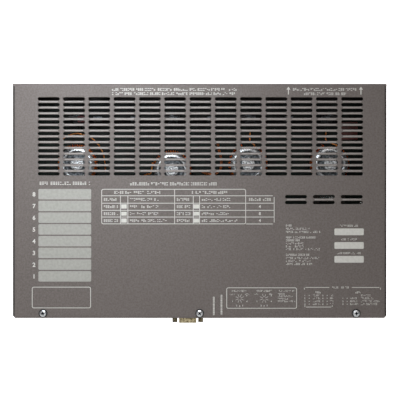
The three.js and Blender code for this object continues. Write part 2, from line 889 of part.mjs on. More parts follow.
// A round wire along a line of points, closed at both ends
function wire(points, radius, sides) {
  const directions = points.slice(1).map((point, index) => point.clone().sub(points[index]).normalize());
  const tangents = points.map((_, index) => {
    const before = directions[Math.max(index - 1, 0)];
    const after = directions[Math.min(index, directions.length - 1)];
    return before.clone().add(after).normalize();
  });
  const normal = new THREE.Vector3().crossVectors(tangents[0], up).normalize();
  const positions = [];
  points.forEach((point, index) => {
    if (index > 0) {
      const swing = new THREE.Quaternion().setFromUnitVectors(tangents[index - 1], tangents[index]);
      normal.applyQuaternion(swing);
    }
    const binormal = new THREE.Vector3().crossVectors(tangents[index], normal);
    for (let side = 0; side < sides; side += 1) {
      const angle = (side / sides) * fullTurn;
      const spoke = normal.clone().multiplyScalar(radius * Math.cos(angle));
      spoke.addScaledVector(binormal, radius * Math.sin(angle));
      const corner = point.clone().add(spoke);
      positions.push(corner.x, corner.y, corner.z);
    }
  });
  const faces = [];
  const rings = points.length;
  for (let index = 0; index < rings - 1; index += 1) {
    for (let side = 0; side < sides; side += 1) {
      const a = index * sides + side;
      const b = index * sides + ((side + 1) % sides);
      faces.push(a, b, a + sides, b, b + sides, a + sides);
    }
  }
  const last = (rings - 1) * sides;
  for (let side = 1; side < sides - 1; side += 1) {
    faces.push(0, side + 1, side);
    faces.push(last, last + side, last + side + 1);
  }
  const geometry = new THREE.BufferGeometry();
  geometry.setAttribute("position", new THREE.Float32BufferAttribute(positions, 3));
  geometry.setIndex(faces);
  return solid(geometry);
}

// Least air between stretches of one wire that are well apart along it
function leastGap(points, radius) {
  const wellApart = gapReachShare * radius;
  const line = [];
  let run = 0;
  for (let index = 1; index < points.length; index += 1) {
    const length = points[index].distanceTo(points[index - 1]);
    for (let sample = 0; sample < gapSamples; sample += 1) {
      const share = sample / gapSamples;
      line.push({ point: points[index - 1].clone().lerp(points[index], share), run: run + share * length });
    }
    run += length;
  }
  let least = Infinity;
  line.forEach((one, index) => {
    for (let other = index + 1; other < line.length; other += 1) {
      if (line[other].run - one.run > wellApart) {
        least = Math.min(least, one.point.distanceTo(line[other].point) - 2 * radius);
      }
    }
  });
  return least;
}

const coreProfile = [
  [coreInnerRadius, -coreHeight / 2],
  [coreOuterRadius, -coreHeight / 2],
  [coreOuterRadius, coreHeight / 2],
  [coreInnerRadius, coreHeight / 2],
  [coreInnerRadius, -coreHeight / 2],
];
const coreSolid = turned(coreProfile, coreSides);
const dishSolid = turned(
  [
    [dishHole / 2, -dishRise - dishSheet],
    [dishFlatRadius, -dishRise - dishSheet],
    [dishRadius, -dishSheet],
    [dishRadius, 0],
    [dishFlatRadius, -dishRise],
    [dishHole / 2, -dishRise],
    [dishHole / 2, -dishRise - dishSheet],
  ],
  largeSides,
);
const dishSeat = chokeMiddle - windingHalfHeight - wireDiameter / 2 - fitGap;
const boltSeat = dishSeat - dishRise - dishSheet - fitGap;

function makeChokeBolt() {
  const headEnd = boltSeat - chokeBoltHeadHeight;
  const nutEnd = boardRear + fitGap + chokeNutHeight;
  const head = rod(hexRadius(chokeBoltHead), headEnd, boltSeat, hexSides);
  const nut = rod(hexRadius(chokeBoltHead), boardRear + fitGap, nutEnd, hexSides);
  const shank = rod(chokeBolt / 2, headEnd + chokeBoltHeadHeight / 2, nutEnd + fitGap, smallSides);
  return union([head, nut, shank]);
}

const chokeBoltSolid = makeChokeBolt();
for (const { number, x, z, gapTurn } of chokePlaces) {
  const group = new THREE.Group();
  group.position.set(x, 0, z);
  root.add(group);
  const path = windingPath(gapTurn);
  const gap = leastGap(path, wireDiameter / 2);
  console.log("choke " + number + " winding: least gap between turns " + gap.toFixed(2) + " mm");
  place(group, "choke_core_" + number, coreSolid, finishes.ferrite, 0, chokeMiddle);
  const winding = wire(path, wireDiameter / 2, wireSides);
  place(group, "choke_winding_" + number, winding, finishes.enamelledCopper, 0, chokeMiddle);
  place(group, "choke_washer_" + number, dishSolid, finishes.zinc, 0, dishSeat);
  place(group, "choke_bolt_" + number, chokeBoltSolid, finishes.zinc);
}

// Heat sink: an aluminium angle standing on the board, with shallow grooves along its standing side
const heatSinkMiddle = heatSinkUpShare * halfHeight;
const heatSinkUpper = heatSinkMiddle + heatSinkThickness / 2;
const heatSinkLower = heatSinkMiddle - heatSinkThickness / 2;

function makeHeatSink() {
  const front = seatOnBoard - heatSinkReach;
  const footFront = seatOnBoard - heatSinkThickness;
  const footEnd = heatSinkUpper - heatSinkFoot;
  const points = [[seatOnBoard, heatSinkUpper], [front, heatSinkUpper], [front, heatSinkLower]];
  const groovePitch = (heatSinkReach - heatSinkThickness) / (heatSinkGrooves + 1);
  for (let groove = 1; groove <= heatSinkGrooves; groove += 1) {
    const middle = front + groove * groovePitch;
    points.push([middle - heatSinkGrooveWidth / 2, heatSinkLower]);
    points.push([middle, heatSinkLower + heatSinkGrooveDepth]);
    points.push([middle + heatSinkGrooveWidth / 2, heatSinkLower]);
  }
  points.push([footFront, heatSinkLower], [footFront, footEnd], [seatOnBoard, footEnd]);
  const farthest = Math.max(...chokePlaces.map(({ x }) => Math.abs(x))) + heatSinkOverhang;
  return prismAlongX(outlineOf(points), -farthest, farthest);
}

place(root, "heat_sink", makeHeatSink(), finishes.anodised);

// Triac: moulded body on a metal tab, three legs to the board
function makeTriac() {
  const back = -triacBackMargin;
  const bodyFront = back - triacBodyLength;
  const tabFront = bodyFront - triacTabLength;
  const half = triacWidth / 2;
  const edge = triacTabThickness / 2;
  const side = outlineOf([
    [bodyFront + edge, triacThickness],
    [bodyFront, 0],
    [back, 0],
    [back, triacThickness],
  ]);
  const body = prismAlongX(side, -half, half);
  const tab = outlineOf([
    [-half, back - triacBodyLength / 2],
    [-half, tabFront + edge],
    [-half + edge, tabFront],
    [half - edge, tabFront],
    [half, tabFront + edge],
    [half, back - triacBodyLength / 2],
  ]);
  const hole = outlineOf(polygon(0, bodyFront - triacTabLength / 2, triacHole / 2, hexSides));
  tab.holes.push(new THREE.Path(hole.getPoints()));
  const pieces = [body, prismAlongZ(tab, 0, triacTabThickness)];
  for (let leg = 0; leg < triacLegs; leg += 1) {
    const across = (leg - (triacLegs - 1) / 2) * triacLegPitch;
    const low = triacThickness / 2 - triacLegThickness / 2;
    pieces.push(
      block(
        at(across - triacLegWidth / 2, back - edge, low),
        at(across + triacLegWidth / 2, 0, low + triacLegThickness),
      ),
    );
  }
  return union(pieces);
}

const triacSolid = makeTriac();
for (const { number, x } of chokePlaces) {
  place(root, "triac_" + number, triacSolid, finishes.blackPlastic, x, seatOnBoard, heatSinkUpper + fitGap);
}

// Cartridge fuse lying across its clips
function makeFuse() {
  const half = fuseLength / 2;
  const capStart = half - fuseCapLength;
  const cap = fuseDiameter / 2;
  const glass = fuseGlassDiameter / 2;
  const profile = [
    [0, -half], [cap, -half], [cap, -capStart], [glass, -capStart],
    [glass, capStart], [cap, capStart], [cap, half], [0, half],
  ];
  return turned(profile, smallSides).rotate([0, 0, 90]);
}

const fuseSolid = makeFuse();
for (const { number, x } of chokePlaces) {
  place(root, "channel_fuse_" + number, fuseSolid, finishes.glass, x, fuseLine, fuseRow);
}

// Terminal block: a stepped body with a square entry below and a screw well in front for each way
function makeTerminals(ways, pitch) {
  const length = ways * pitch + 2 * terminalEndWall;
  const side = outlineOf([
    [0, 0],
    [0, terminalHeight],
    [-terminalDepth + terminalStep, terminalHeight],
    [-terminalDepth, terminalHeight - terminalStep],
    [-terminalDepth, 0],
  ]);
  const cutters = [];
  const wellHeight = (terminalHeight - terminalStep) / 2;
  for (let way = 0; way < ways; way += 1) {
    const across = terminalEndWall + way * pitch + pitch / 2;
    const entry = terminalEntry / 2;
    const entryLine = -terminalDepth / 2;
    cutters.push(
      block(
        at(across - entry, entryLine - entry, -cutOverrun),
        at(across + entry, entryLine + entry, terminalEntryDepth),
      ),
    );
    const well = outlineOf(polygon(across, wellHeight, terminalScrewHole / 2, hexSides));
    cutters.push(prismAlongY(well, -terminalDepth + terminalScrewDepth / 2, -terminalDepth - cutOverrun));
  }
  return { length, block: cutAll(prismAlongX(side, 0, length), cutters) };
}

const terminalRow = boardBottom + terminalBottomMargin;
const supplyStart = -boardHalfWidth + terminalSideMargin;
const supply = makeTerminals(supplyWays, supplyWayPitch);
const load = makeTerminals(loadWays, loadWayPitch);
const loadStart = supplyStart + supply.length + terminalSpacing;
place(root, "supply_terminals", supply.block, finishes.blackPlastic, supplyStart, seatOnBoard, terminalRow);
place(root, "load_terminals", load.block, finishes.greenPlastic, loadStart, seatOnBoard, terminalRow);

// Control transformer: laminated core with two windows and a coil former round the middle leg
function makeTransformer() {
  const halfAcross = laminationWidth / 2;
  const halfUp = laminationHeight / 2;
  const stack = laminationStack / 2;
  const windowOuter = halfAcross - laminationLeg;
  const windowInner = laminationMiddleLeg / 2;
  const windowEnd = halfUp - laminationLeg;
  const windows = [-1, 1].map((side) => {
    const near = Math.min(side * windowInner, side * windowOuter);
    const far = Math.max(side * windowInner, side * windowOuter);
    return block(at(near, -stack - cutOverrun, -windowEnd), at(far, stack + cutOverrun, windowEnd));
  });
  const plates = block(at(-halfAcross, -stack, -halfUp), at(halfAcross, stack, halfUp));
  const core = cutAll(plates, windows);
  const formerAcross = windowOuter - fitGap;
  const formerUp = windowEnd - fitGap;
  const formerDepth = stack + bobbinOverhang;
  const coilInset = bobbinCoilInset;
  const flanges = [-1, 1].map((end) => {
    const outerEdge = end * formerUp;
    const innerEdge = end * (formerUp - bobbinFlange);
    return block(
      at(-formerAcross, -formerDepth, Math.min(outerEdge, innerEdge)),
      at(formerAcross, formerDepth, Math.max(outerEdge, innerEdge)),
    );
  });
  const coilOutline = roundedRectangle(
    -formerAcross + coilInset / 2,
    formerAcross - coilInset / 2,
    -formerDepth + coilInset,
    formerDepth - coilInset,
    [coilInset, coilInset, coilInset, coilInset],
    cornerSteps,
  );
  const coil = prismAlongZ(outlineOf(coilOutline), -formerUp, formerUp);
  const leg = block(
    at(-windowInner - fitGap, -stack - fitGap, -formerUp - cutOverrun),
    at(windowInner + fitGap, stack + fitGap, formerUp + cutOverrun),
  );
  return { core, former: cutAll(union([...flanges, coil]), [leg]), depth: formerDepth };
}

const transformer = makeTransformer();
const transformerX = transformerAcrossShare * halfWidth;
const transformerY = seatOnBoard - transformer.depth;
const transformerZ = transformerUpShare * halfHeight;
place(
  root, "transformer_core", transformer.core, finishes.lamination, transformerX, transformerY, transformerZ,
);
place(
  root, "transformer_coil", transformer.former, finishes.blackPlastic,
  transformerX, transformerY, transformerZ,
);

// Suppression capacitor: a moulded block beside the end of the heat sink
function makeCapacitor() {
  const half = capacitorWidth / 2;
  const edges = [capacitorEdge, capacitorEdge, capacitorEdge, capacitorEdge];
  const face = roundedRectangle(-half, half, -capacitorHeight, 0, edges, cornerSteps);
  return prismAlongY(outlineOf(face), 0, -capacitorDepth);
}

place(
  root,
  "suppression_capacitor",
  makeCapacitor(),
  finishes.redFilm,
  capacitorAcrossShare * halfWidth,
  seatOnBoard,
  heatSinkUpper - heatSinkFoot + capacitorRise,
);

// Control board, with the dial and trimmer housings soldered on
const dialLine = controlBottom + dialUpShare * controlBoardHeight;
const dialSeat = controlFront - dialHousingDepth + dialSeatDepth;
const dials = dialAcrossShares.map((share, index) => ({
  name: "address_dial_" + (index + 1),
  x: share * halfWidth,
  housing: dialHousing,
  diameter: dialDiameter,
}));
dials.push({
  name: "input_trimmer",
  x: trimmerAcrossShare * halfWidth,
  housing: trimmerHousing,
  diameter: trimmerDiameter,
});
const controlPillarPlaces = [
  ["control_pillar_left", controlLeft + controlPillarInset],
  ["control_pillar_right", controlRight - controlPillarInset],
];
const controlPillarLine = controlTop - controlPillarInset;

function makeControlBoard() {
  const plate = outlineOf([
    [controlLeft, controlBottom],
    [controlRight, controlBottom],
    [controlRight, controlTop],
    [controlLeft, controlTop],
  ]);
  for (const [, x] of controlPillarPlaces) {
    const hole = polygon(x, controlPillarLine, boardScrewHole / 2, hexSides);
    plate.holes.push(new THREE.Path(outlineOf(hole).getPoints()));
  }
  const pieces = [prismAlongY(plate, controlRear, controlFront)];
  for (const { x, housing, diameter } of dials) {
    const half = housing / 2;
    const body = block(
      at(x - half, controlFront - dialHousingDepth, dialLine - half),
      at(x + half, controlRear, dialLine + half),
    );
    const seat = outlineOf(polygon(x, dialLine, diameter / 2 + fitGap, screwSides));
    pieces.push(body.subtract(prismAlongY(seat, dialSeat, controlFront - dialHousingDepth - cutOverrun)));
  }
  return union(pieces);
}

place(root, "control_board", makeControlBoard(), finishes.board);

// Dial with a screwdriver slot that ends in a pointer
function makeDial(diameter) {
  const height = dialSeatDepth + dialStandProud;
  const disc = prismAlongY(outlineOf(polygon(0, 0, diameter / 2, screwSides)), 0, -height);
  const half = dialSlotWidth / 2;
  const reach = (diameter / 2) * dialArrowShare;
  const slot = outlineOf([
    [-half, -reach],
    [half, -reach],
    [half, reach - dialSlotWidth],
    [0, reach],
    [-half, reach - dialSlotWidth],
  ]);
  return disc.subtract(prismAlongY(slot, -height + dialSlotDepth, -height - cutOverrun));
}

for (const { name, x, diameter } of dials) {
  place(root, name, makeDial(diameter), finishes.whitePlastic, x, dialSeat - fitGap, dialLine);
}

// Six-sided pillars that carry the control board
function makeControlPillar() {
  const length = backInner - fitGap - (controlRear + fitGap);
  const outline = outlineOf(polygon(0, 0, hexRadius(controlPillarAcross), hexSides));
  return prismAlongY(outline, 0, -length);
}

for (const [name, x] of controlPillarPlaces) {
  place(root, name, makeControlPillar(), finishes.passivated, x, backInner - fitGap, controlPillarLine);
}

// Nine-way socket: flange and tapered shell outside the wall, insulator with its pins inside the shell
const dsubSeat = wallBottom - fitGap;

function makeDsubShell() {
  const flangeLow = dsubSeat - dsubFlangeSheet;
  const edge = dsubFlangeSheet;
  const flangePoints = roundedRectangle(
    dsubAcross - dsubFlangeWidth / 2,
    dsubAcross + dsubFlangeWidth / 2,
    connectorLine - dsubFlangeHeight / 2,
    connectorLine + dsubFlangeHeight / 2,
    [edge, edge, edge, edge],
    cornerSteps,
  );
  const flange = prismAlongZ(outlineOf(flangePoints), flangeLow, dsubSeat);
  const shellPoints = dOutline(dsubAcross, connectorLine, dsubShellWidth, dsubShellHeight);
  const shell = prismAlongZ(outlineOf(shellPoints), dsubSeat - dsubShellReach, dsubSeat);
  const wall = 2 * dsubShellWall;
  const borePoints = dOutline(dsubAcross, connectorLine, dsubShellWidth - wall, dsubShellHeight - wall);
  const cutters = [
    prismAlongZ(outlineOf(borePoints), dsubSeat - dsubShellReach - cutOverrun, dsubSeat + cutOverrun),
  ];
  for (const side of [-1, 1]) {
    const across = dsubAcross + (side * jackscrewSpacing) / 2;
    const hole = polygon(across, connectorLine, jackscrewShank / 2 + fitGap, smallSides);
    cutters.push(prismAlongZ(outlineOf(hole), flangeLow - cutOverrun, dsubSeat + cutOverrun));
  }
  return cutAll(flange.add(shell), cutters);
}

function makeDsubInsert() {
  const gap = 2 * (dsubShellWall + fitGap);
  const face = dsubSeat - dsubShellReach + dsubFaceSetback;
  const nosePoints = dOutline(dsubAcross, connectorLine, dsubShellWidth - gap, dsubShellHeight - gap);
  const nose = prismAlongZ(outlineOf(nosePoints), face, wallBottomInner);
  const bodyTop = wallBottom + dsubInsertDepth;
  const bodyPoints = dOutline(dsubAcross, connectorLine, dsubInsertWidth, dsubInsertHeight);
  const body = prismAlongZ(outlineOf(bodyPoints), wallBottom + fitGap, bodyTop);
  const foot = block(
    at(dsubAcross - dsubInsertWidth / 2, connectorLine, wallBottomInner + fitGap),
    at(dsubAcross + dsubInsertWidth / 2, seatOnControl, bodyTop),
  );
  const pieces = [nose, body, foot];
  const firstRow = Math.ceil(dsubPins / 2);
  for (let pin = 0; pin < dsubPins; pin += 1) {
    const inFirst = pin < firstRow;
    const count = inFirst ? firstRow : dsubPins - firstRow;
    const index = inFirst ? pin : pin - firstRow;
    const across = dsubAcross + (index - (count - 1) / 2) * dsubPinPitch;
    const along = connectorLine + ((inFirst ? -1 : 1) * dsubPinRowPitch) / 2;
    const outline = outlineOf(polygon(across, along, dsubPinDiameter / 2, pinSides));
    pieces.push(prismAlongZ(outline, face - dsubPinLength, face + dsubPinDiameter));
  }
  return union(pieces);
}

// Hexagonal jackscrew beside the shell, hollow for the plug's screw
function makeJackscrew() {
  const head = rod(hexRadius(jackscrewAcross), -jackscrewReach, 0, hexSides, true);
  const shank = rod(jackscrewShank / 2, -jackscrewReach / 2, jackscrewShankLength, smallSides, true);
  const boreEnd = -jackscrewReach + jackscrewBoreDepth;
  const bore = rod(jackscrewBore / 2, -jackscrewReach - cutOverrun, boreEnd, smallSides, true);
  return head.add(shank).subtract(bore);
}

place(root, "input_socket_shell", makeDsubShell(), finishes.passivated);
place(root, "input_socket_insert", makeDsubInsert(), finishes.blackPlastic);
const jackscrewSeat = dsubSeat - dsubFlangeSheet - fitGap;
for (const [name, side] of [["jackscrew_left", -1], ["jackscrew_right", 1]]) {
  const x = dsubAcross + (side * jackscrewSpacing) / 2;
  place(root, name, makeJackscrew(), finishes.passivated, x, connectorLine, jackscrewSeat);
}

// Round control socket: a square body on the board with a round nose in the wall
function makeDinSocket() {
  const half = dinBodyWidth / 2;
  const bodyLow = wallBottomInner + fitGap;
  const body = block(
    at(-half, -dinBodyDepth / 2, bodyLow),
    at(half, dinBodyDepth / 2, bodyLow + dinBodyHeight),
  );
  const noseOutline = outlineOf(polygon(0, 0, dinNoseRadius, middleSides));
  const nose = prismAlongZ(noseOutline, wallBottom, bodyLow + dinRecess);
  const recessOutline = outlineOf(polygon(0, 0, dinRecessRadius, middleSides));
  const recess = prismAlongZ(recessOutline, wallBottom - cutOverrun, wallBottom + dinRecess);
  const cutters = [recess];
  for (let pin = 0; pin < dinPins; pin += 1) {
    const angle = (pin / (dinPins - 1)) * dinPinSweepShare * fullTurn;
    const x = dinPinCircle * Math.cos(angle);
    const hole = polygon(x, dinPinCircle * Math.sin(angle), dinPinHole / 2, hexSides);
    cutters.push(prismAlongZ(outlineOf(hole), wallBottom, bodyLow + dinBodyHeight / 2));
  }
  return cutAll(body.add(nose), cutters);
}

const dinSolid = makeDinSocket();
dinPlaces.forEach((across, index) => {
  place(root, "control_socket_" + (index + 1), dinSolid, finishes.blackPlastic, across, dinCentre);
});

// Two data jacks in one moulding, each with its latch notch towards the front
function makeDataJacks() {
  const low = wallBottom;
  const body = block(
    at(-jackBodyWidth / 2, -jackBodyDepth, low),
    at(jackBodyWidth / 2, 0, low + jackBodyHeight),
  );
  const cutters = [];
  for (const side of [-1, 1]) {
    const middle = (side * jackPitch) / 2;
    const mouthFront = -jackBodyDepth + jackFrontWall + jackLatchHeight;
    const half = jackOpeningWidth / 2;
    const latch = jackLatchWidth / 2;
    const mouth = outlineOf([
      [middle - half, mouthFront],
      [middle - latch, mouthFront],
      [middle - latch, mouthFront - jackLatchHeight],
      [middle + latch, mouthFront - jackLatchHeight],
      [middle + latch, mouthFront],
      [middle + half, mouthFront],
      [middle + half, mouthFront + jackOpeningHeight],
      [middle - half, mouthFront + jackOpeningHeight],
    ]);
    cutters.push(prismAlongZ(mouth, low - cutOverrun, low + jackOpeningDepth));
  }
  return cutAll(body, cutters);
}

place(root, "data_jacks", makeDataJacks(), finishes.blackPlastic, jackAcross, seatOnControl);

// Three-pin data socket: a square body with a round nose, and a disc that carries the pins
function makeXlrBody() {
  const half = xlrBody / 2;
  const bodyLow = wallBottomInner + fitGap;
  const body = block(at(-half, -half, bodyLow), at(half, half, bodyLow + xlrBodyHeight));
  const noseOutline = outlineOf(polygon(0, 0, xlrNoseRadius, largeSides));
  const nose = prismAlongZ(noseOutline, wallBottom, bodyLow + fitGap);
  const cavityOutline = outlineOf(polygon(0, 0, xlrCavityRadius, largeSides));
  const cavity = prismAlongZ(cavityOutline, wallBottom - cutOverrun, wallBottom + xlrCavityDepth);
  return body.add(nose).subtract(cavity);
}

function makeXlrPins() {
  const top = wallBottom + xlrCavityDepth - fitGap;
  const face = top - xlrDiscThickness;
  const disc = outlineOf(polygon(0, 0, xlrCavityRadius - fitGap, largeSides));
  const pieces = [prismAlongZ(disc, face, top)];
  for (let pin = 0; pin < xlrPins; pin += 1) {
    const angle = (pin / xlrPins) * fullTurn + quarterTurn;
    const x = xlrPinCircle * Math.cos(angle);
    const outline = outlineOf(polygon(x, xlrPinCircle * Math.sin(angle), xlrPinDiameter / 2, hexSides));
    pieces.push(prismAlongZ(outline, face - xlrPinLength, face + xlrDiscThickness / 2));
  }
  return union(pieces);
}

place(root, "data_socket_body", makeXlrBody(), finishes.blackPlastic, xlrAcross, xlrCentre);
place(root, "data_socket_pins", makeXlrPins(), finishes.zinc, xlrAcross, xlrCentre);

// Indicator lamp: a domed lens through the wall, its legs bent back to the board
function makeLamp() {
  const radius = lampDiameter / 2;
  const domeEnd = wallBottom - lampPoke;
  const rimLow = wallBottomInner + fitGap;
  const top = rimLow + lampRimHeight;
  const profile = [
    [0, domeEnd],
    [radius * lampCrownShare, domeEnd + radius * lampCrownDropShare],
    [radius, domeEnd + radius],
    [radius, rimLow],
    [lampRim / 2, rimLow],
    [lampRim / 2, top],
    [0, top],
  ];
  const lens = turned(profile, smallSides, true);
  const legTop = top + lampLength - lampRimHeight;
  const pieces = [lens];
  for (const side of [-1, 1]) {
    const across = (side * lampLegPitch) / 2;
    const half = lampLeg / 2;
    pieces.push(block(at(across - half, -half, top - half), at(across + half, half, legTop)));
    const foot = at(across + half, seatOnControl - connectorLine, legTop);
    pieces.push(block(at(across - half, -half, legTop - lampLeg), foot));
  }
  return union(pieces);
}

const lampSolid = makeLamp();
const lampFinishes = [finishes.greenLens, finishes.redLens];
lampPlaces.forEach((across, index) => {
  place(root, "indicator_lamp_" + (index + 1), lampSolid, lampFinishes[index], across, connectorLine);
});

// Rubber grommet: a groove that grips the sheet between two lips
function makeGrommet() {
  const bore = grommetBore / 2;
  const groove = grommetHole / 2 - fitGap;
  const lip = grommetHole / 2 + grommetLip;
  const outerFace = wallBottom - fitGap;
  const innerFace = wallBottomInner + fitGap;
  const profile = [
    [bore, outerFace - grommetOuterLipHeight],
    [lip, outerFace - grommetOuterLipHeight],
    [lip, outerFace],
    [groove, outerFace],
    [groove, innerFace],
    [lip, innerFace],
    [bore, innerFace + grommetInnerLipHeight],
    [bore, outerFace - grommetOuterLipHeight],
  ];
  return turned(profile, middleSides, true);
}

const grommetSolid = makeGrommet();
grommetPlaces.forEach((across, index) => {
  place(root, "cable_grommet_" + (index + 1), grommetSolid, finishes.rubber, across, grommetLine);
});

// Flat cable from the back of the control board to the power board, with a plug at each end
function makeRibbon() {
  const start = controlRear + fitGap;
  const end = seatOnBoard;
  const low = controlTop - ribbonBoardInset - ribbonPlugThickness;
  const high = boardBottom + ribbonBoardInset;
  const half = ribbonThickness / 2;
  const middle = (start + end) / 2;
  const bow = new THREE.CubicBezierCurve(
    new THREE.Vector2(start + ribbonPlugDepth / 2, low),
    new THREE.Vector2(middle, low),
    new THREE.Vector2(middle, high),
    new THREE.Vector2(end - ribbonPlugDepth / 2, high),
  );
  const line = bow.getPoints(ribbonSteps);
  const left = [];
  const right = [];
  line.forEach((point, index) => {
    const tangent = bow.getTangent(index / (line.length - 1));
    left.push([point.x - half * tangent.y, point.y + half * tangent.x]);
    right.unshift([point.x + half * tangent.y, point.y - half * tangent.x]);
  });
  const strip = prismAlongX(outlineOf([...right, ...left].reverse()), -ribbonWidth / 2, ribbonWidth / 2);
  const plugHalf = ribbonPlugThickness / 2;
  const across = ribbonWidth / 2 + ribbonThickness;
  const plugAt = (front, height) => block(
    at(-across, front, height - plugHalf), at(across, front + ribbonPlugDepth, height + plugHalf),
  );
  return union([strip, plugAt(start, low), plugAt(end - ribbonPlugDepth, high)]);
}

place(root, "board_link_cable", makeRibbon(), finishes.ribbon, ribbonAcrossShare * halfWidth);

export default root;
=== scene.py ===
import math
import random

import bmesh
import bpy
from mathutils import Matrix, Vector


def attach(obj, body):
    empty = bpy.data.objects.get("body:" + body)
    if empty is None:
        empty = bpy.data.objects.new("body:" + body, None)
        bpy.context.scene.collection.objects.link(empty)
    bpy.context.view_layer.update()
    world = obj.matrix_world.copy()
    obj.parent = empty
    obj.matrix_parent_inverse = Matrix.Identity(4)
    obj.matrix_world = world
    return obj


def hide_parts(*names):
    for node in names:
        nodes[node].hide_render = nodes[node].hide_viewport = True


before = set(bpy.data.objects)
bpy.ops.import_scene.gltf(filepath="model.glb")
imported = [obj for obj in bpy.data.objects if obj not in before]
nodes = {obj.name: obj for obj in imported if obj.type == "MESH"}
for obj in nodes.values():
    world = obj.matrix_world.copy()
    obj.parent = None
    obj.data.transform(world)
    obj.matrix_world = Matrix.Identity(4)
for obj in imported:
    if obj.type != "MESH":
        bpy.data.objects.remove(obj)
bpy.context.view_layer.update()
random.seed(41)

# X runs right, Z up and Y into the wall, with the origin in the middle of the rear face.
# Mesh code works in millimetres and putPiece turns them into metres.
mm = 0.001
fullTurn = 2 * math.pi
hair = 0.01  # mm, what keeps two faces out of one plane
print("frame loaded:", len(nodes), "nodes")


# Small helpers

def linear(code):  # sRGB hex to linear colour
    parts = [int(code[i:i + 2], 16) / 255 for i in (1, 3, 5)]
    return [p / 12.92 if p <= 0.04045 else ((p + 0.055) / 1.055) ** 2.4 for p in parts] + [1.0]


def addNode(tree, kind, values=None, wires=None, **settings):  # any node, with its settings and links
    node = tree.nodes.new("ShaderNode" + kind)
    for key, value in settings.items():
        setattr(node, key, value)
    for key, value in (values or {}).items():
        node.inputs[key].default_value = value
    for key, socket in (wires or {}).items():
        tree.links.new(socket, node.inputs[key])
    return node


def startMaterial(name, values):  # a principled shader and the piece's own coordinates in metres
    material = bpy.data.materials.new(name)
    material.use_nodes = True
    tree = material.node_tree
    shader = tree.nodes["Principled BSDF"]
    for key, value in values.items():
        shader.inputs[key].default_value = value
    place = addNode(tree, "TexCoord").outputs["Object"]
    return material, tree, shader, place


def mottled(tree, place, sizeMm, dark, light, low=0.35, high=0.65, detail=4):
    # two hex colours spread by noise in patches of a given size
    noise = addNode(tree, "TexNoise", {"Scale": 1 / (sizeMm * mm), "Detail": detail}, {"Vector": place})
    ramp = addNode(tree, "ValToRGB", wires={"Fac": noise.outputs["Fac"]})
    for stop, position, code in zip(ramp.color_ramp.elements, (low, high), (dark, light)):
        stop.position = position
        stop.color = linear(code)
    return ramp.outputs["Color"]


def grained(tree, shader, place, sizeMm, heightMm):  # fine relief from noise
    noise = addNode(tree, "TexNoise", {"Scale": 1 / (sizeMm * mm), "Detail": 3}, {"Vector": place})
    bump = addNode(tree, "Bump", {"Strength": 1.0, "Distance": heightMm * mm}, {"Height": noise.outputs["Fac"]})
    tree.links.new(bump.outputs["Normal"], shader.inputs["Normal"])


def roughened(tree, shader, place, sizeMm, low, high):  # worn and handled patches of gloss
    noise = addNode(tree, "TexNoise", {"Scale": 1 / (sizeMm * mm), "Detail": 3}, {"Vector": place})
    spread = addNode(tree, "MapRange", {"From Min": 0.3, "From Max": 0.7, "To Min": low, "To Max": high},
                     {"Value": noise.outputs["Fac"]})
    tree.links.new(spread.outputs["Result"], shader.inputs["Roughness"])


# Materials

# Polyester powder coat in warm grey, sprayed and stoved: the melt levels into a fine pebble of about 0.6 mm.
powderCoat = {"pebble": 0.6, "pebbleHeight": 0.035, "patch": 1.6, "wear": 9}


def makePowderCoat(name, dark, light, rough=(0.54, 0.6)):
    material, tree, shader, place = startMaterial(name, {"IOR": 1.5})
    colour = mottled(tree, place, powderCoat["patch"], dark, light, detail=7)
    tree.links.new(colour, shader.inputs["Base Color"])
    roughened(tree, shader, place, powderCoat["wear"], *rough)
    grained(tree, shader, place, powderCoat["pebble"], powderCoat["pebbleHeight"])
    return material


coverPaint = makePowderCoat("powder_coated_steel_warm_grey", "#655E5A", "#746D69")
# The two side lips: the same coat painted darker, painted shade for the bends that turn away from the light.
lipShadePaint = makePowderCoat("powder_coated_steel_side_lips_painted_shade", "#36322F", "#3D3936")
# The bars between the punched slots: the same coat painted paler and glossier, a painted highlight for the light
# their rolled edges catch.
barHighlightPaint = makePowderCoat("powder_coated_steel_vent_bars_painted_highlight", "#8E8985", "#9A9591", (0.4, 0.46))
# The case: the same powder painted darker, painted shade for the dark inside seen through the slots.
caseShadePaint = makePowderCoat("powder_coated_steel_case_painted_shade", "#2C2927", "#33302D")


def makePlain(name, dark, light, values, patchMm=3, rough=(0.35, 0.5), grain=None, stretch=None,
              low=0.35, high=0.65):
    material, tree, shader, place = startMaterial(name, values)
    tree.links.new(mottled(tree, place, patchMm, dark, light, low, high), shader.inputs["Base Color"])
    if stretch:  # draws the wear and the grain out into lines
        place = addNode(tree, "Mapping", {"Scale": stretch}, {"Vector": place}).outputs["Vector"]
    roughened(tree, shader, place, patchMm, *rough)
    if grain:
        grained(tree, shader, place, *grain)
    return material


# Epoxy screen ink, printed and baked: matt, uneven where the mesh laid less of it.
epoxyInk = {"values": {"IOR": 1.5}, "patchMm": 2.5, "rough": (0.5, 0.62), "grain": (0.35, 0.008)}
# Grey ink of the strips for writing on.
writeOnInk = makePlain("screen_printed_write_on_ink", "#A3A39C", "#AFAFA9", **epoxyInk)
# White ink of the rules and digits, printed twice for cover.
screenInk = makePlain("screen_printed_white_epoxy_ink", "#D0D0C9", "#DBDBD5", **epoxyInk)
# Bright zinc plate over pressed steel: silvery with a faint blue in the passivation.
zincPlate = makePlain("bright_zinc_plated_steel", "#D3D9DD", "#EEF1F2", {"Metallic": 0.85}, 1.6, (0.2, 0.36),
                      (0.5, 0.006))
# The same plate painted grey and dull: painted shade on the washer's sunk floor, the heat-sink clips and the triac
# screws, which lie in shade behind the cover.
shadedZinc = makePlain("zinc_plated_steel_painted_shade", "#474C4F", "#7F8589", {"Metallic": 0.85}, 2.4, (0.36, 0.55),
                     (0.5, 0.01), low=0.42, high=0.6)
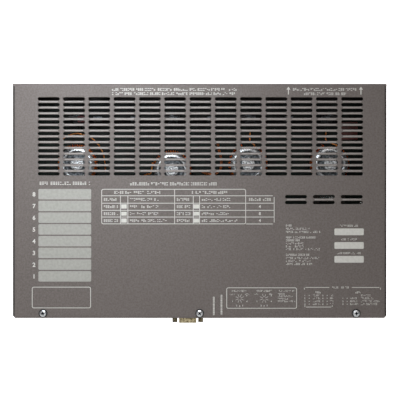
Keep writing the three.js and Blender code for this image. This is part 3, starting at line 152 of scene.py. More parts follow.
# Yellow chromate over zinc: brassy olive film that drifts to pink and green in places.
yellowZinc = makePlain("yellow_passivated_zinc", "#463D28", "#D0C4A0", {"Metallic": 1.0}, 2.2, (0.22, 0.4),
                       (0.6, 0.012))
# The recess of a driven screw: bare steel painted near black, painted shade in the pocket.
recessShadeSteel = makePlain("steel_recess_painted_shade", "#16191D", "#2A3038", {"Metallic": 0.9}, 0.5, (0.35, 0.55))
# Nickel plate over brass, barrelled to a polish: white, with sharp small highlights.
polishedNickel = makePlain("barrel_polished_nickel", "#E4E2DC", "#F4F3EF", {"Metallic": 0.9}, 2, (0.14, 0.24))
# Nickel-plated brass of fuse caps and clips, stamped, painted dark brown-grey: painted shade for their place
# inside the case.
shadedCapPlate = makePlain("nickel_plate_painted_shade", "#2E2B27", "#4C4842", {"Metallic": 0.8}, 1.0, (0.45, 0.62),
                         (0.3, 0.01))
# Tinned copper leads and pins: whitish metal, soft gloss.
tinnedMetal = makePlain("tinned_copper", "#A9A8A2", "#CFCFC9", {"Metallic": 1.0}, 0.8, (0.22, 0.45), (0.3, 0.01))
# Gold-flashed contacts, stamped and rolled: warm, with a clean shine.
goldContact = makePlain("gold_flashed_contact", "#B58E3A", "#D6B45A", {"Metallic": 1.0}, 0.8, (0.18, 0.3))
# Extruded aluminium painted near black, painted shade behind the cover bars: long die lines along X under a dull
# film.
shadedAluminium = makePlain("aluminium_painted_dark_shade", "#0F0F11", "#161618", {"IOR": 1.5, "Specular IOR Level": 0.3}, 5,
                     (0.45, 0.6), (0.25, 0.02), (0.03, 1, 1))
# Copper magnet wire in orange-red polyurethane enamel: copper seen through a clear tinted film.
enamel = {"Metallic": 0.25, "Coat Weight": 0.8, "Coat Roughness": 0.1, "Coat IOR": 1.55}
magnetWire = makePlain("enamelled_copper_wire", "#E64A0E", "#FA9236", enamel, 1.2, (0.25, 0.4))
# The same wire drawn off the ring to its solder pad, painted paler: painted light on the lit arches of the leads.
litLeadWire = makePlain("enamelled_copper_wire_painted_light", "#F0761F", "#FFB765", enamel, 1.6, (0.25, 0.4))
# Powdered-iron ring, pressed and dipped in epoxy paint: matt dark grey-green with pits.
powderCore = makePlain("epoxy_dipped_iron_powder", "#1C2022", "#272C2F", {"IOR": 1.5}, 1.5, (0.5, 0.7),
                       (0.5, 0.06))
# Stacked lamination steel painted dark, painted shade behind the side slots: the stack's edges show as 0.5 mm
# lines along Y.
shadedLamination = makePlain("lamination_steel_painted_shade", "#211F1D", "#34312E", {"Metallic": 0.5}, 2, (0.4, 0.6),
                           (0.5, 0.08), (0.02, 1, 0.02))
# Black glass-filled nylon and thermoset, moulded: a satin skin with a slight drag pattern.
blackMoulding = makePlain("moulded_black_nylon", "#0F0F10", "#171719", {"IOR": 1.53}, 2, (0.38, 0.55),
                          (0.35, 0.012))
# Transistor and chip epoxy, transfer moulded: darker and duller than nylon.
chipEpoxy = makePlain("transfer_moulded_epoxy", "#121315", "#1B1C1F", {"IOR": 1.55}, 1.2, (0.5, 0.65),
                      (0.25, 0.015))
# Green polyamide terminal blocks, moulded: satin and even.
greenMoulding = makePlain("moulded_green_polyamide", "#0E6B43", "#148054", {"IOR": 1.53}, 3, (0.35, 0.5),
                          (0.4, 0.01))
# White PBT housings and dials, moulded: satin with a warm cast.
whiteMoulding = makePlain("moulded_white_pbt", "#C9C8C0", "#DAD9D2", {"IOR": 1.5}, 2, (0.35, 0.48), (0.4, 0.01))
# Red-brown flame-retardant box of a film capacitor, moulded and epoxy filled: rather glossy.
redBrownBox = makePlain("moulded_red_brown_pbt", "#4A140C", "#5E1D11", {"IOR": 1.52}, 2, (0.3, 0.42), (0.4, 0.01))
# Neoprene grommet, moulded: dull black with bloom.
neoprene = makePlain("moulded_neoprene", "#18181A", "#26262A", {"IOR": 1.52}, 2, (0.65, 0.85), (0.4, 0.02))
# Blue PET sleeve, shrunk onto an electrolytic can: tight and glossy.
shrunkSleeve = makePlain("shrunk_blue_pet_sleeve", "#16233F", "#1D2C4E", {"IOR": 1.57}, 3, (0.18, 0.3))
# Dark red silicone sleeve, shrunk on: satin with soft edges.
darkRedSleeve = makePlain("shrunk_dark_red_sleeve", "#3F0D10", "#571517", {"IOR": 1.42}, 2, (0.4, 0.55),
                          (0.5, 0.02))
# Orange PVC sleeve on thin hook-up wire, extruded: smooth satin.
orangeSleeve = makePlain("extruded_orange_pvc", "#9A4A18", "#B86826", {"IOR": 1.53}, 2, (0.35, 0.5))
# Tan epoxy coat on a film resistor, dipped: soft gloss, thicker over the end caps.
resistorCoat = makePlain("dipped_tan_epoxy", "#B08E63", "#C4A478", {"IOR": 1.5}, 0.8, (0.4, 0.55), (0.3, 0.02))
# Cream ceramic, wet-pressed and fired with a thin glaze: chalky with a low shine.
creamCeramic = makePlain("glazed_cream_ceramic", "#C9BFA6", "#DAD2BC", {"IOR": 1.52}, 1.5, (0.35, 0.5),
                         (0.3, 0.02))
# Black polyester tape wound round the transformer coil: glossy film with lapped edges.
coilTape = makePlain("lapped_polyester_tape", "#141312", "#1F1D1B", {"IOR": 1.64}, 3, (0.2, 0.34),
                     (0.9, 0.12), (0.02, 0.02, 3))


# Glass-epoxy board under green solder resist, both greens painted near black as shade inside the case: copper
# areas stand out paler and raised.
boardCopper = {"areaMm": 9, "raisedMm": 0.035, "covered": "#040F0B", "bare": "#071911"}


def makeBoardMaterial():
    material, tree, shader, place = startMaterial("green_solder_resist_painted_dark_shade",
                                                  {"IOR": 1.55, "Roughness": 0.5, "Specular IOR Level": 0.2})
    flat = addNode(tree, "Mapping", {"Scale": (1, 0.001, 1)}, {"Vector": place})
    cells = addNode(tree, "TexVoronoi", {"Scale": 1 / (boardCopper["areaMm"] * mm), "Randomness": 0.55},
                    {"Vector": flat.outputs["Vector"]}, distance="CHEBYCHEV", feature="F1")
    wide = addNode(tree, "Math", {1: 0.5}, {0: cells.outputs["Distance"]}, operation="GREATER_THAN")
    ramp = addNode(tree, "ValToRGB", wires={"Fac": wide.outputs["Value"]})
    for stop, code in zip(ramp.color_ramp.elements, (boardCopper["bare"], boardCopper["covered"])):
        stop.color = linear(code)
    tree.links.new(ramp.outputs["Color"], shader.inputs["Base Color"])
    bump = addNode(tree, "Bump", {"Strength": 0.6, "Distance": boardCopper["raisedMm"] * mm},
                   {"Height": wide.outputs["Value"]}, invert=True)
    tree.links.new(bump.outputs["Normal"], shader.inputs["Normal"])
    return material


# Grey PVC ribbon cable, extruded: satin, with a rib over each of its wires.
ribbon = {"wirePitch": 1.5, "ribHigh": 0.16, "dark": "#8D8F90", "light": "#9B9D9E"}


def makeRibbonMaterial():
    material, tree, shader, place = startMaterial("extruded_grey_ribbed_pvc", {"IOR": 1.53, "Roughness": 0.42})
    x = addNode(tree, "SeparateXYZ", wires={"Vector": place}).outputs["X"]
    rib = addNode(tree, "Math", {1: fullTurn / (ribbon["wirePitch"] * mm)}, {0: x}, operation="MULTIPLY")
    wave = addNode(tree, "Math", wires={0: rib.outputs["Value"]}, operation="COSINE")
    bump = addNode(tree, "Bump", {"Strength": 1.0, "Distance": ribbon["ribHigh"] * mm},
                   {"Height": wave.outputs["Value"]})
    tree.links.new(bump.outputs["Normal"], shader.inputs["Normal"])
    tree.links.new(mottled(tree, place, 3, ribbon["dark"], ribbon["light"]), shader.inputs["Base Color"])
    return material


shadedBoardResist, ribbedPvc = makeBoardMaterial(), makeRibbonMaterial()


def makeClear(name, code, transmission, roughness):  # tinted moulding or glass with a slight ripple
    material, tree, shader, place = startMaterial(name, {
        "Base Color": linear(code), "IOR": 1.49, "Transmission Weight": transmission, "Roughness": roughness})
    grained(tree, shader, place, 2, 0.01)
    return material


# Drawn soda-lime tube of a fuse: clear, with faint draw ripples.
fuseGlass = makeClear("drawn_fuse_glass", "#DCE6E2", 0.92, 0.03)
# Lamp lenses of tinted acrylic, moulded: half clear, so the colour glows at the rim.
greenLens = makeClear("moulded_green_acrylic", "#1E9A48", 0.55, 0.12)
redLens = makeClear("moulded_red_acrylic", "#B3231C", 0.55, 0.12)

# the case, both boards, the heat sink and the transformer core take colours darkened as painted shade
nodeMaterials = {
    "chassis": caseShadePaint, "front_cover": coverPaint, "power_board": shadedBoardResist, "control_board": shadedBoardResist,
    "heat_sink": shadedAluminium, "transformer_core": shadedLamination, "transformer_coil": coilTape,
    "suppression_capacitor": redBrownBox, "supply_terminals": blackMoulding, "load_terminals": greenMoulding,
    "input_socket_shell": yellowZinc, "input_socket_insert": blackMoulding, "data_jacks": blackMoulding,
    "data_socket_body": blackMoulding, "data_socket_pins": tinnedMetal, "board_link_cable": ribbedPvc,
    "input_trimmer": whiteMoulding, "indicator_lamp_1": greenLens, "indicator_lamp_2": redLens,
}
nodePrefixes = {
    "cover_screw_": zincPlate, "choke_core_": powderCore, "choke_winding_": magnetWire, "choke_washer_": zincPlate,
    "choke_bolt_": zincPlate, "triac_": chipEpoxy, "channel_fuse_": fuseGlass, "jackscrew_": yellowZinc,
    "control_socket_": blackMoulding, "control_pillar_": yellowZinc, "address_dial_": whiteMoulding,
    "cable_grommet_": neoprene,
}
for nodeName, nodeObject in nodes.items():
    chosen = nodeMaterials.get(nodeName)
    for prefix, material in nodePrefixes.items():
        if nodeName.startswith(prefix):
            chosen = material
    nodeObject.data.materials.clear()
    nodeObject.data.materials.append(chosen)
print("materials made:", len(bpy.data.materials))


# Mesh tools

def putPiece(name, body, bm, materials, sharpAngle=32, bevel=0.0, bevelSteps=2, weld=False):
    # closes a bmesh in millimetres into a shaded piece that rides on a body
    if weld:
        bmesh.ops.remove_doubles(bm, verts=bm.verts, dist=0.001)
    bmesh.ops.recalc_face_normals(bm, faces=bm.faces)
    bmesh.ops.scale(bm, vec=(mm, mm, mm), verts=bm.verts)
    limit = math.radians(sharpAngle)
    for face in bm.faces:
        face.smooth = True
    for edge in bm.edges:
        edge.smooth = len(edge.link_faces) == 2 and edge.calc_face_angle(0) < limit
    mesh = bpy.data.meshes.new(name)
    bm.to_mesh(mesh)
    bm.free()
    piece = bpy.data.objects.new(name, mesh)
    bpy.context.scene.collection.objects.link(piece)
    for material in (materials if isinstance(materials, list) else [materials]):
        mesh.materials.append(material)
    if bevel:
        rounding = piece.modifiers.new("edges", "BEVEL")
        rounding.width = bevel * mm
        rounding.segments = bevelSteps
        rounding.limit_method = "ANGLE"
        rounding.angle_limit = math.radians(40)
        rounding.use_clamp_overlap = True
    weighted = piece.modifiers.new("normals", "WEIGHTED_NORMAL")
    weighted.keep_sharp = True
    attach(piece, body)
    return piece


def ringBetween(bm, loopA, loopB, kind=0):  # a closed band of quads between two equal loops
    count = len(loopA)
    for i in range(count):
        j = (i + 1) % count
        face = bm.faces.new((loopA[i], loopA[j], loopB[j], loopB[i]))
        face.material_index = kind


def addLathe(bm, profile, centre, steps=32, kind=0, axis=(0, -1, 0), turn=0.0):
    # profile is (radius, along) from one end to the other, and a radius of 0 closes an end
    axis = Vector(axis).normalized()
    across = axis.orthogonal().normalized()
    third = axis.cross(across)
    centre = Vector(centre)
    rings = []
    for radius, along in profile:
        if radius == 0:
            rings.append([bm.verts.new(centre + axis * along)])
            continue
        ring = []
        for i in range(steps):
            a = fullTurn * (i / steps + turn)
            outward = across * math.cos(a) + third * math.sin(a)
            ring.append(bm.verts.new(centre + axis * along + outward * radius))
        rings.append(ring)
    for a, b in zip(rings, rings[1:]):
        for i in range(steps):
            j = (i + 1) % steps
            if len(a) == 1:
                face = bm.faces.new((a[0], b[j], b[i]))
            elif len(b) == 1:
                face = bm.faces.new((a[i], a[j], b[0]))
            else:
                face = bm.faces.new((a[i], a[j], b[j], b[i]))
            face.material_index = kind


def addSlab(bm, outline, deepFrom, deepTo, kind=0, axis="y"):
    # an outline of (u, v) pairs swept along an axis: u and v are the other two axes in order
    def spot(u, v, w):
        return {"x": (w, u, v), "y": (u, w, v), "z": (u, v, w)}[axis]
    near = [bm.verts.new(spot(u, v, deepFrom)) for u, v in outline]
    far = [bm.verts.new(spot(u, v, deepTo)) for u, v in outline]
    ringBetween(bm, near, far, kind)
    for loop in (near, list(reversed(far))):
        bm.faces.new(loop).material_index = kind


def roundedOutline(x0, z0, x1, z1, radius, steps=4):  # corners counter-clockwise from the lower right
    points = []
    for cx, cz, start in ((x1 - radius, z0 + radius, -0.25), (x1 - radius, z1 - radius, 0.0),
                          (x0 + radius, z1 - radius, 0.25), (x0 + radius, z0 + radius, 0.5)):
        for i in range(steps + 1):
            a = fullTurn * (start + 0.25 * i / steps)
            points.append((cx + radius * math.cos(a), cz + radius * math.sin(a)))
    return points


def addBlock(bm, low, high, kind=0, corner=0.0):  # a block with its upright edges (along Y) rounded
    outline = roundedOutline(low[0], low[2], high[0], high[2], max(corner, 0.05), 3 if corner else 1)
    addSlab(bm, outline, low[1], high[1], kind)


def addTube(bm, points, radius, sides=8, kind=0, closed=False):  # a round wire along a path
    points = [Vector(p) for p in points]
    count = len(points)
    rings = []
    normal = None
    for i, point in enumerate(points):
        before = points[i - 1] if (i or closed) else point
        after = points[(i + 1) % count] if (i < count - 1 or closed) else point
        heading = (after - before).normalized()
        if normal is None:
            normal = heading.orthogonal().normalized()
        else:
            normal = (normal - heading * normal.dot(heading)).normalized()
        third = heading.cross(normal)
        rings.append([bm.verts.new(point + (normal * math.cos(fullTurn * k / sides)
                                            + third * math.sin(fullTurn * k / sides)) * radius)
                      for k in range(sides)])
    for a, b in zip(rings, rings[1:]):
        ringBetween(bm, a, b, kind)
    if closed:
        ringBetween(bm, rings[-1], rings[0], kind)
    else:
        bm.faces.new(list(reversed(rings[0]))).material_index = kind
        bm.faces.new(rings[-1]).material_index = kind


def smoothPath(points, steps=6):  # a Catmull-Rom curve through the points
    points = [Vector(p) for p in points]
    ends = [points[0] * 2 - points[1]] + points + [points[-1] * 2 - points[-2]]
    path = []
    for i in range(1, len(ends) - 2):
        p0, p1, p2, p3 = ends[i - 1:i + 3]
        for k in range(steps):
            t = k / steps
            path.append(0.5 * (2 * p1 + (p2 - p0) * t + (2 * p0 - 5 * p1 + 4 * p2 - p3) * t * t
                               + (3 * p1 - p0 - 3 * p2 + p3) * t * t * t))
    return path + [points[-1]]


def addDigit(bm, text, x, y, z, high, bold=0.0, steps=3):
    # a plain digit from Blender's own font, facing the front
    curve = bpy.data.curves.new("digit", "FONT")
    curve.body = text
    curve.size = high * 1.38  # the font's digits are 0.72 of its size
    curve.offset = high * bold
    curve.align_x = "CENTER"
    curve.resolution_u = steps
    holder = bpy.data.objects.new("digit", curve)
    bpy.context.scene.collection.objects.link(holder)
    mesh = bpy.data.meshes.new_from_object(holder.evaluated_get(bpy.context.evaluated_depsgraph_get()))
    bpy.data.objects.remove(holder)
    bpy.data.curves.remove(curve)
    mesh.transform(Matrix.Translation((x, y, z - high / 2)) @ Matrix.Rotation(math.pi / 2, 4, "X"))
    bm.from_mesh(mesh)
    bpy.data.meshes.remove(mesh)


# Front cover

cover = {"halfWide": 178.5, "halfHigh": 112.0, "front": -85.0, "sheet": 1.2, "bend": 2.2, "sideBend": 2.0,
         "flangeBack": -71.0, "bottomBack": -78.0, "bottomReach": 1.4, "cornerCut": 1.7, "lipEase": 0.25,
         "slotLong": 20.8, "slotHigh": 3.1, "slotPitchX": 24.14, "slotPitchZ": 5.5, "slotMiddle": 0.75,
         "columns": 13, "rows": 14, "topRow": 97.35, "sideColumns": (92.0, 118.6, 145.2), "sideRows": (4.0, -1.5),
         "holeAcross": 3.7, "holeZ": -107.3, "holeX": (-149.4, 0.0, 149.4), "middleRise": 1.5,
         "slotSteps": 9, "holeSteps": 12, "bendSteps": 8}
# the punch rolls the coated edge over: (outward, depth) from the front to the back of the sheet
punchedEdge = [(0.55, 0.0), (0.36, 0.03), (0.18, 0.13), (0.05, 0.3), (0.0, 0.55), (0.0, 1.0), (0.1, 1.15),
               (0.22, 1.2)]


def obround(cx, cz, longer, higher, grow, steps):  # a slot's outline, grown outward
    radius = min(longer, higher) / 2 + grow
    reachX, reachZ = max((longer - higher) / 2, 0), max((higher - longer) / 2, 0)
    points = []
    for sign in (1, -1):
        for i in range(steps + 1):
            a = math.pi * (i / steps + (sign < 0)) - (0 if reachZ else math.pi / 2)
            points.append((cx + sign * reachX + radius * math.cos(a), cz + sign * reachZ + radius * math.sin(a)))
    return points


def foldFlange(bm, reach, bend, ends, back, upright, sign, cut=0.0):
    # a bend and its flat lip as one swept section, from the face's border outward
    centre, sheet, ease, steps = reach - bend, cover["sheet"], cover["lipEase"], cover["bendSteps"]

    def arc(radius, turns):
        angles = [math.pi / 2 * i / steps for i in turns]
        return [(centre + radius * math.sin(a), cover["front"] + bend - radius * math.cos(a)) for a in angles]

    section = arc(bend, range(steps + 1)) + [(reach, back - ease), (reach - ease, back), (reach - sheet, back)]
    section += arc(bend - sheet + hair, range(steps, -1, -1))
    loops = []
    for end, slope in zip(ends, (1, -1)):
        loop = []
        for out, deep in section:
            along = end + slope * cut * max(0.0, min(1.0, (out - centre) / bend))
            loop.append(bm.verts.new((sign * out, deep, along) if upright else (along, deep, sign * out)))
        loops.append(loop)
    # the side lips take the third, darker paint: painted shade
    ringBetween(bm, loops[0], loops[1], 2 if upright else 0)
    for loop in loops:
        bm.faces.new(loop)


def makeCover():
    bm = bmesh.new()
    front = cover["front"]
    edgeX, edgeZ = cover["halfWide"] - cover["sideBend"], cover["halfHigh"] - cover["bend"]
    columns = [cover["slotMiddle"] + (i - (cover["columns"] - 1) / 2) * cover["slotPitchX"]
               for i in range(cover["columns"])]
    rows = [cover["topRow"] - i * cover["slotPitchZ"] for i in range(cover["rows"])]
    grids = ((columns, rows), (cover["sideColumns"], cover["sideRows"]))
    slot = (cover["slotLong"], cover["slotHigh"], cover["slotSteps"])
    holes = [(x, z) + slot for across, down in grids for x in across for z in down]
    for x in cover["holeX"]:
        rise = cover["middleRise"] if x == 0 else hair
        holes.append((x, cover["holeZ"] + rise / 2, cover["holeAcross"], cover["holeAcross"] + rise,
                      cover["holeSteps"]))
    frontEdges, backEdges = [], []
    for y, kept in ((front, frontEdges), (front + cover["sheet"], backEdges)):
        outer = [bm.verts.new((x * edgeX, y, z * edgeZ)) for x, z in ((-1, -1), (1, -1), (1, 1), (-1, 1))]
        kept.extend(bm.edges.new((outer[i], outer[(i + 1) % 4])) for i in range(4))
    for cx, cz, longer, higher, steps in holes:
        loops = [[bm.verts.new((x, front + depth, z)) for x, z in obround(cx, cz, longer, higher, grow, steps)]
                 for grow, depth in punchedEdge]
        for a, b in zip(loops, loops[1:]):
            ringBetween(bm, b, a)
        for loop, kept in ((loops[0], frontEdges), (loops[-1], backEdges)):
            kept.extend(bm.edges.get((loop[i], loop[(i + 1) % len(loop)])) for i in range(len(loop)))
    for edges, facing in ((frontEdges, -1), (backEdges, 1)):
        bmesh.ops.triangle_fill(bm, use_beauty=True, use_dissolve=False, edges=edges, normal=(0, facing, 0))
    # the bars, which take the paler painted highlight, are the front faces whose corners all lie between the
    # straight edges of two slots
    reach, least = (cover["slotLong"] - cover["slotHigh"]) / 2 + hair, 0.5
    for face in bm.faces:
        middle = face.calc_center_median()
        if abs(middle.y - front) > hair or face.calc_area() < least:
            continue
        for across, down in grids:
            if down[-1] < middle.z < down[0] and any(
                    all(abs(v.co.x - columnX) < reach for v in face.verts) for columnX in across):
                face.material_index = 1
    topReach, bottomReach = cover["halfWide"] - 0.02, edgeX + cover["bottomReach"]
    foldFlange(bm, cover["halfHigh"], cover["bend"], (-topReach, topReach), cover["flangeBack"], False, 1)
    foldFlange(bm, cover["halfHigh"], cover["bend"], (-bottomReach, bottomReach), cover["bottomBack"], False, -1,
               cover["cornerCut"])
    for sign in (-1, 1):
        foldFlange(bm, cover["halfWide"], cover["sideBend"], (-edgeZ, edgeZ - 0.05), cover["flangeBack"], True,
                   sign)
    piece = putPiece("cover_sheet", "cover", bm, [coverPaint, barHighlightPaint, lipShadePaint], 40, weld=True)
    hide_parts("front_cover")


makeCover()
print("cover folded and punched")


# Printed panel

# all sizes in millimetres from the middle of the cover
panel = {"lift": 0.03, "rule": 0.62, "corner": 1.2, "frameCorner": 1.8, "bold": 0.045,
         "stripX": (-153.9, -103.5), "stripTop": 11.4, "stripHigh": 10.0, "stripPitch": 11.2, "strips": 8,
         "digitX": -158.1, "digitHigh": 4.0, "planX": (38.2, 61.5), "planZ": -93.0,
         "tableX": (-93.8, -75.6, -68.5, -23.9, -6.1, -0.1, 44.2, 71.3),
         "tableZ": (11.4, 4.9, -2.2, -9.0, -15.4, -22.2)}
# a line of dashes, in shares of its height
dashes = {"word": (2.2, 6.5), "wordGap": 0.6, "long": (0.4, 0.64), "gap": 0.2, "high": 0.22, "level": 0.37}
inkFront = cover["front"] - panel["lift"]
printed = bmesh.new()


def inkShape(outline, kind=0):
    loop = [printed.verts.new((x, inkFront, z)) for x, z in outline]
    under = [printed.verts.new((x, cover["front"] - 0.004, z)) for x, z in outline]
    printed.faces.new(loop).material_index = kind
    ringBetween(printed, under, loop, kind)


def inkBlock(x0, z0, x1, z1, radius=0.0, kind=0):
    if radius:
        inkShape(roundedOutline(x0, z0, x1, z1, radius, 4), kind)
    else:
        inkShape([(x0, z0), (x1, z0), (x1, z1), (x0, z1)], kind)


def inkRule(x0, z0, x1, z1, wide=panel["rule"]):  # a straight rule, level or upright
    half = wide / 2
    if abs(x1 - x0) > abs(z1 - z0):
        inkBlock(min(x0, x1), z0 - half, max(x0, x1), z0 + half)
    else:
        inkBlock(x0 - half, min(z0, z1), x0 + half, max(z0, z1))


def inkFrame(x0, z0, x1, z1, radius, wide=panel["rule"]):  # a rounded frame drawn as a closed band
    outer = roundedOutline(x0, z0, x1, z1, radius, 5)
    inner = roundedOutline(x0 + wide, z0 + wide, x1 - wide, z1 - wide, max(radius - wide, 0.1), 5)
    for i in range(len(outer)):
        j = (i + 1) % len(outer)
        inkShape([outer[i], outer[j], inner[j], inner[i]])


def inkDashes(x0, x1, z, high, seed, share=0.6):
    # stands for a line of print: short dashes at three levels in word lengths, with nothing to read
    choose = random.Random(seed)
    half = high * dashes["high"] / 2
    x = x0
    while x < x1 - 0.8:
        wordEnd = min(x + high * choose.uniform(*dashes["word"]), x1)
        while x < wordEnd - 0.4:
            dash = high * choose.uniform(*dashes["long"])
            for level in (-1, 0, 1):
                if choose.random() < share:
                    middle = z + level * high * dashes["level"]
                    inkBlock(x, middle - half, min(x + dash, wordEnd), middle + half)
            x += dash + high * dashes["gap"]
        x = wordEnd + high * dashes["wordGap"]


def inkDigit(text, x, z, high):
    addDigit(printed, text, x, inkFront, z, high, panel["bold"])


def printStrips():  # eight strips for writing on, with their channel digits
    x0, x1 = panel["stripX"]
    for i in range(panel["strips"]):
        top = panel["stripTop"] - i * panel["stripPitch"]
        inkBlock(x0, top - panel["stripHigh"], x1, top, panel["corner"], 1)
        inkDigit(str(panel["strips"] - i), panel["digitX"], top - panel["stripHigh"] / 2, panel["digitHigh"])
    inkDashes(-152.8, -104.7, 16.8, 3.1, 1, 0.8)


def printTable():  # two halves of three columns, and a short column at the right
    left, tickA, textA, half, tickB, textB, right, far = panel["tableX"]
    rows = panel["tableZ"]
    bottom = rows[-1]
    inkFrame(left, bottom, right, rows[0], 2.0)
    for z in (rows[1], bottom + 0.2):
        inkRule(right, z, far - 1.5, z)
    inkRule(far - 0.2, rows[1] - 1.2, far - 0.2, bottom + 1.6)
    for z in rows[1:-1]:
        inkRule(left, z, far if z < rows[1] else right, z)
    inkRule(half, rows[0], half, bottom)
    for x in (tickA, textA, tickB, textB):
        inkRule(x, rows[1], x, bottom)
    for x in (-74.9, -5.8):
        for top, low in ((-3.3, -7.3), (-10.4, -14.0), (-16.8, -20.7)):
            inkBlock(x, low, x + 5.3, top, 0.3)
    for line in ((-66.5, 16.5, 16.3, 2.9, 2, 0.8), (-81.5, -36.0, 8.1, 2.7, 3, 0.75),
                 (-7.5, 27.5, 8.1, 2.7, 4, 0.75)):
        inkDashes(*line)
    for i, (z, endA, endB) in enumerate(((1.4, -39.0, 29.5), (-5.5, -39.5, 30.0), (-12.2, -39.5, 30.0),
                                         (-18.8, -31.5, 36.0))):
        inkDashes(-91.5, -78.0, z, 2.6, 10 + i, 0.85)
        inkDashes(-66.5, endA, z, 2.5, 20 + i)
        inkDashes(-21.8, -8.0, z, 2.6, 30 + i, 0.85)
        inkDashes(2.0, endB, z, 2.5, 40 + i)
        if i:
            inkDigit("484"[i - 1], 57.4, z + 0.2, 2.8)
        else:
            inkDashes(47.0, 68.5, z, 2.7, 50, 0.85)


def printLines():  # lines of dashes at the right, four of them denser, and three pale boxes
    for i, (z, end) in enumerate(((-23.5, 88), (-26.6, 105), (-29.6, 115), (-34.9, 110.5), (-37.6, 96),
                                  (-40.6, 99), (-43.4, 99), (-46.1, 117), (-51.4, 105), (-54.5, 117),
                                  (-57.3, 106), (-60.2, 108))):
        inkDashes(82.3, end, z, 1.9, 60 + i, 0.85 if i in (0, 3, 4, 8) else 0.52)
    for i, (z, x0, x1) in enumerate(((-26.3, 134, 151), (-39.3, 135, 150), (-52.5, 131, 154))):
        inkBlock(128.6, z - 6.45, 156.6, z, 1.0)
        inkDashes(x0, x1, z + 2.6, 1.8, 80 + i, 0.7)


def printPinPlans():
    # a frame with eight spokes and plain digits for each round socket, and marks for the lamps
    inkFrame(25.5, -102.8, 92.8, -82.6, panel["frameCorner"])
    z, pins = panel["planZ"], {0: "5", 1: "6", 4: "1", 5: "2", 6: "3", 7: "4"}
    for k, x in enumerate(panel["planX"]):
        middle = Vector((x, z))
        for i in range(8):
            a = fullTurn * (i + 0.5) / 8
            along, cross = Vector((math.cos(a), math.sin(a))), Vector((-math.sin(a), math.cos(a))) * 0.16
            near, far = middle + along * 1.3, middle + along * 4.3
            inkShape([tuple(near - cross), tuple(far - cross), tuple(far + cross), tuple(near + cross)])
            if i in pins:
                inkDigit(pins[i], *(middle + along * 7.4), 1.5)
        inkDigit("87"[k], x, z - 7.4, 1.5)
        for j, (x0, x1, up, high) in enumerate(((-9.5, -4.5, 4.0, 1.5), (5.0, 9.5, 4.0, 1.5),
                                                (-7.5, 7.5, 7.2, 1.6))):
            inkDashes(x + x0, x + x1, z + up, high, 90 + 2 * j + k)
    for i, (z, end) in enumerate(((-86.0, 90), (-88.9, 82.5), (-91.0, 89), (-93.4, 85), (-95.8, 91.5))):
        inkDashes(74.6, end, z, 1.6, 100 + i)
    for x, top, bottom in ((13.5, -91.4, -108.9), (20.8, -89.5, -108.4)):
        z, choose = bottom, random.Random(int(-top))
        while z < top:
            step = choose.uniform(0.5, 1.1)
            inkBlock(x - 0.85, z, x + 0.85, min(z + step, top))
            z += step + 0.4


def printPinLists():  # digits and dashes for the data sockets, with their brackets
    for rule in ((100.9, -82.6, 123.8, -82.6), (145.2, -82.6, 171.5, -82.6), (99.9, -82.8, 99.9, -84.6),
                 (172.5, -82.8, 172.5, -84.6), (101.4, -101.3, 125.6, -101.3), (100.4, -101.1, 100.4, -99.6),
                 (126.5, -101.1, 126.5, -99.6)):
        inkRule(*rule)
    for line in ((126.5, 142.5, -82.6, 1.8, 110, 0.7), (110.5, 116.0, -87.3, 2.0, 111, 0.9),
                 (148.5, 153.5, -87.3, 2.0, 112, 0.9)):
        inkDashes(*line)
    for i, (z, end) in enumerate(((-90.2, 164), (-92.9, 166), (-95.8, 172), (-98.5, 170))):
        lists = [(i + 1, 100.4, 104.6, 108.0, 115.4, 120), (i + 5, 117.6, 121.7, 124.4, 127.6, 130)]
        if i:
            lists.append((i, 136.7, 140.8, 143.5, 151.5, 140))
        for number, digitX, equalsX, x0, x1, seed in lists:
            inkDigit(str(number), digitX, z, 1.5)
            inkDigit("=", equalsX, z, 1.4)
            inkDashes(x0, x1, z, 1.6, seed + i)
        inkDashes(153.9, end, z, 1.7, 150 + i)


def printTopEdge():  # four dashed lines and two arrows
    for line in ((-83.7, 35.6, 106.4, 2.4, 160, 0.7), (-83.7, 35.6, 102.3, 2.4, 161, 0.7),
                 (89.0, 150.1, 106.4, 2.4, 162, 0.7), (99.5, 139.6, 102.2, 2.4, 163, 0.7)):
        inkDashes(*line)
    for x in (84.7, 153.9):
        inkRule(x, 101.5, x, 106.6, 0.9)
        inkShape([(x - 1.9, 106.2), (x + 1.9, 106.2), (x, 109.1)])


printStrips()
printTable()
inkFrame(-160.1, -102.4, -103.8, -82.0, panel["frameCorner"])  # an empty frame at the lower left
printLines()
printPinPlans()
printPinLists()
printTopEdge()
putPiece("panel_print", "cover", printed, [screenInk, writeOnInk], 20)
print("panel printed")


# Cover screws

coverScrew = {"headRadius": 3.25, "headBack": -85.5, "headFront": -87.45, "shank": 1.45, "end": -79.3,
              "threads": 7, "recess": (1.4, 1.9, 0.62), "washer": (3.0, 4.15, 0.5),
              "places": {"left": -149.4, "middle": 0.0, "right": 149.4},
              "turns": {"left": 0.04, "middle": 0.09, "right": 0.02}}


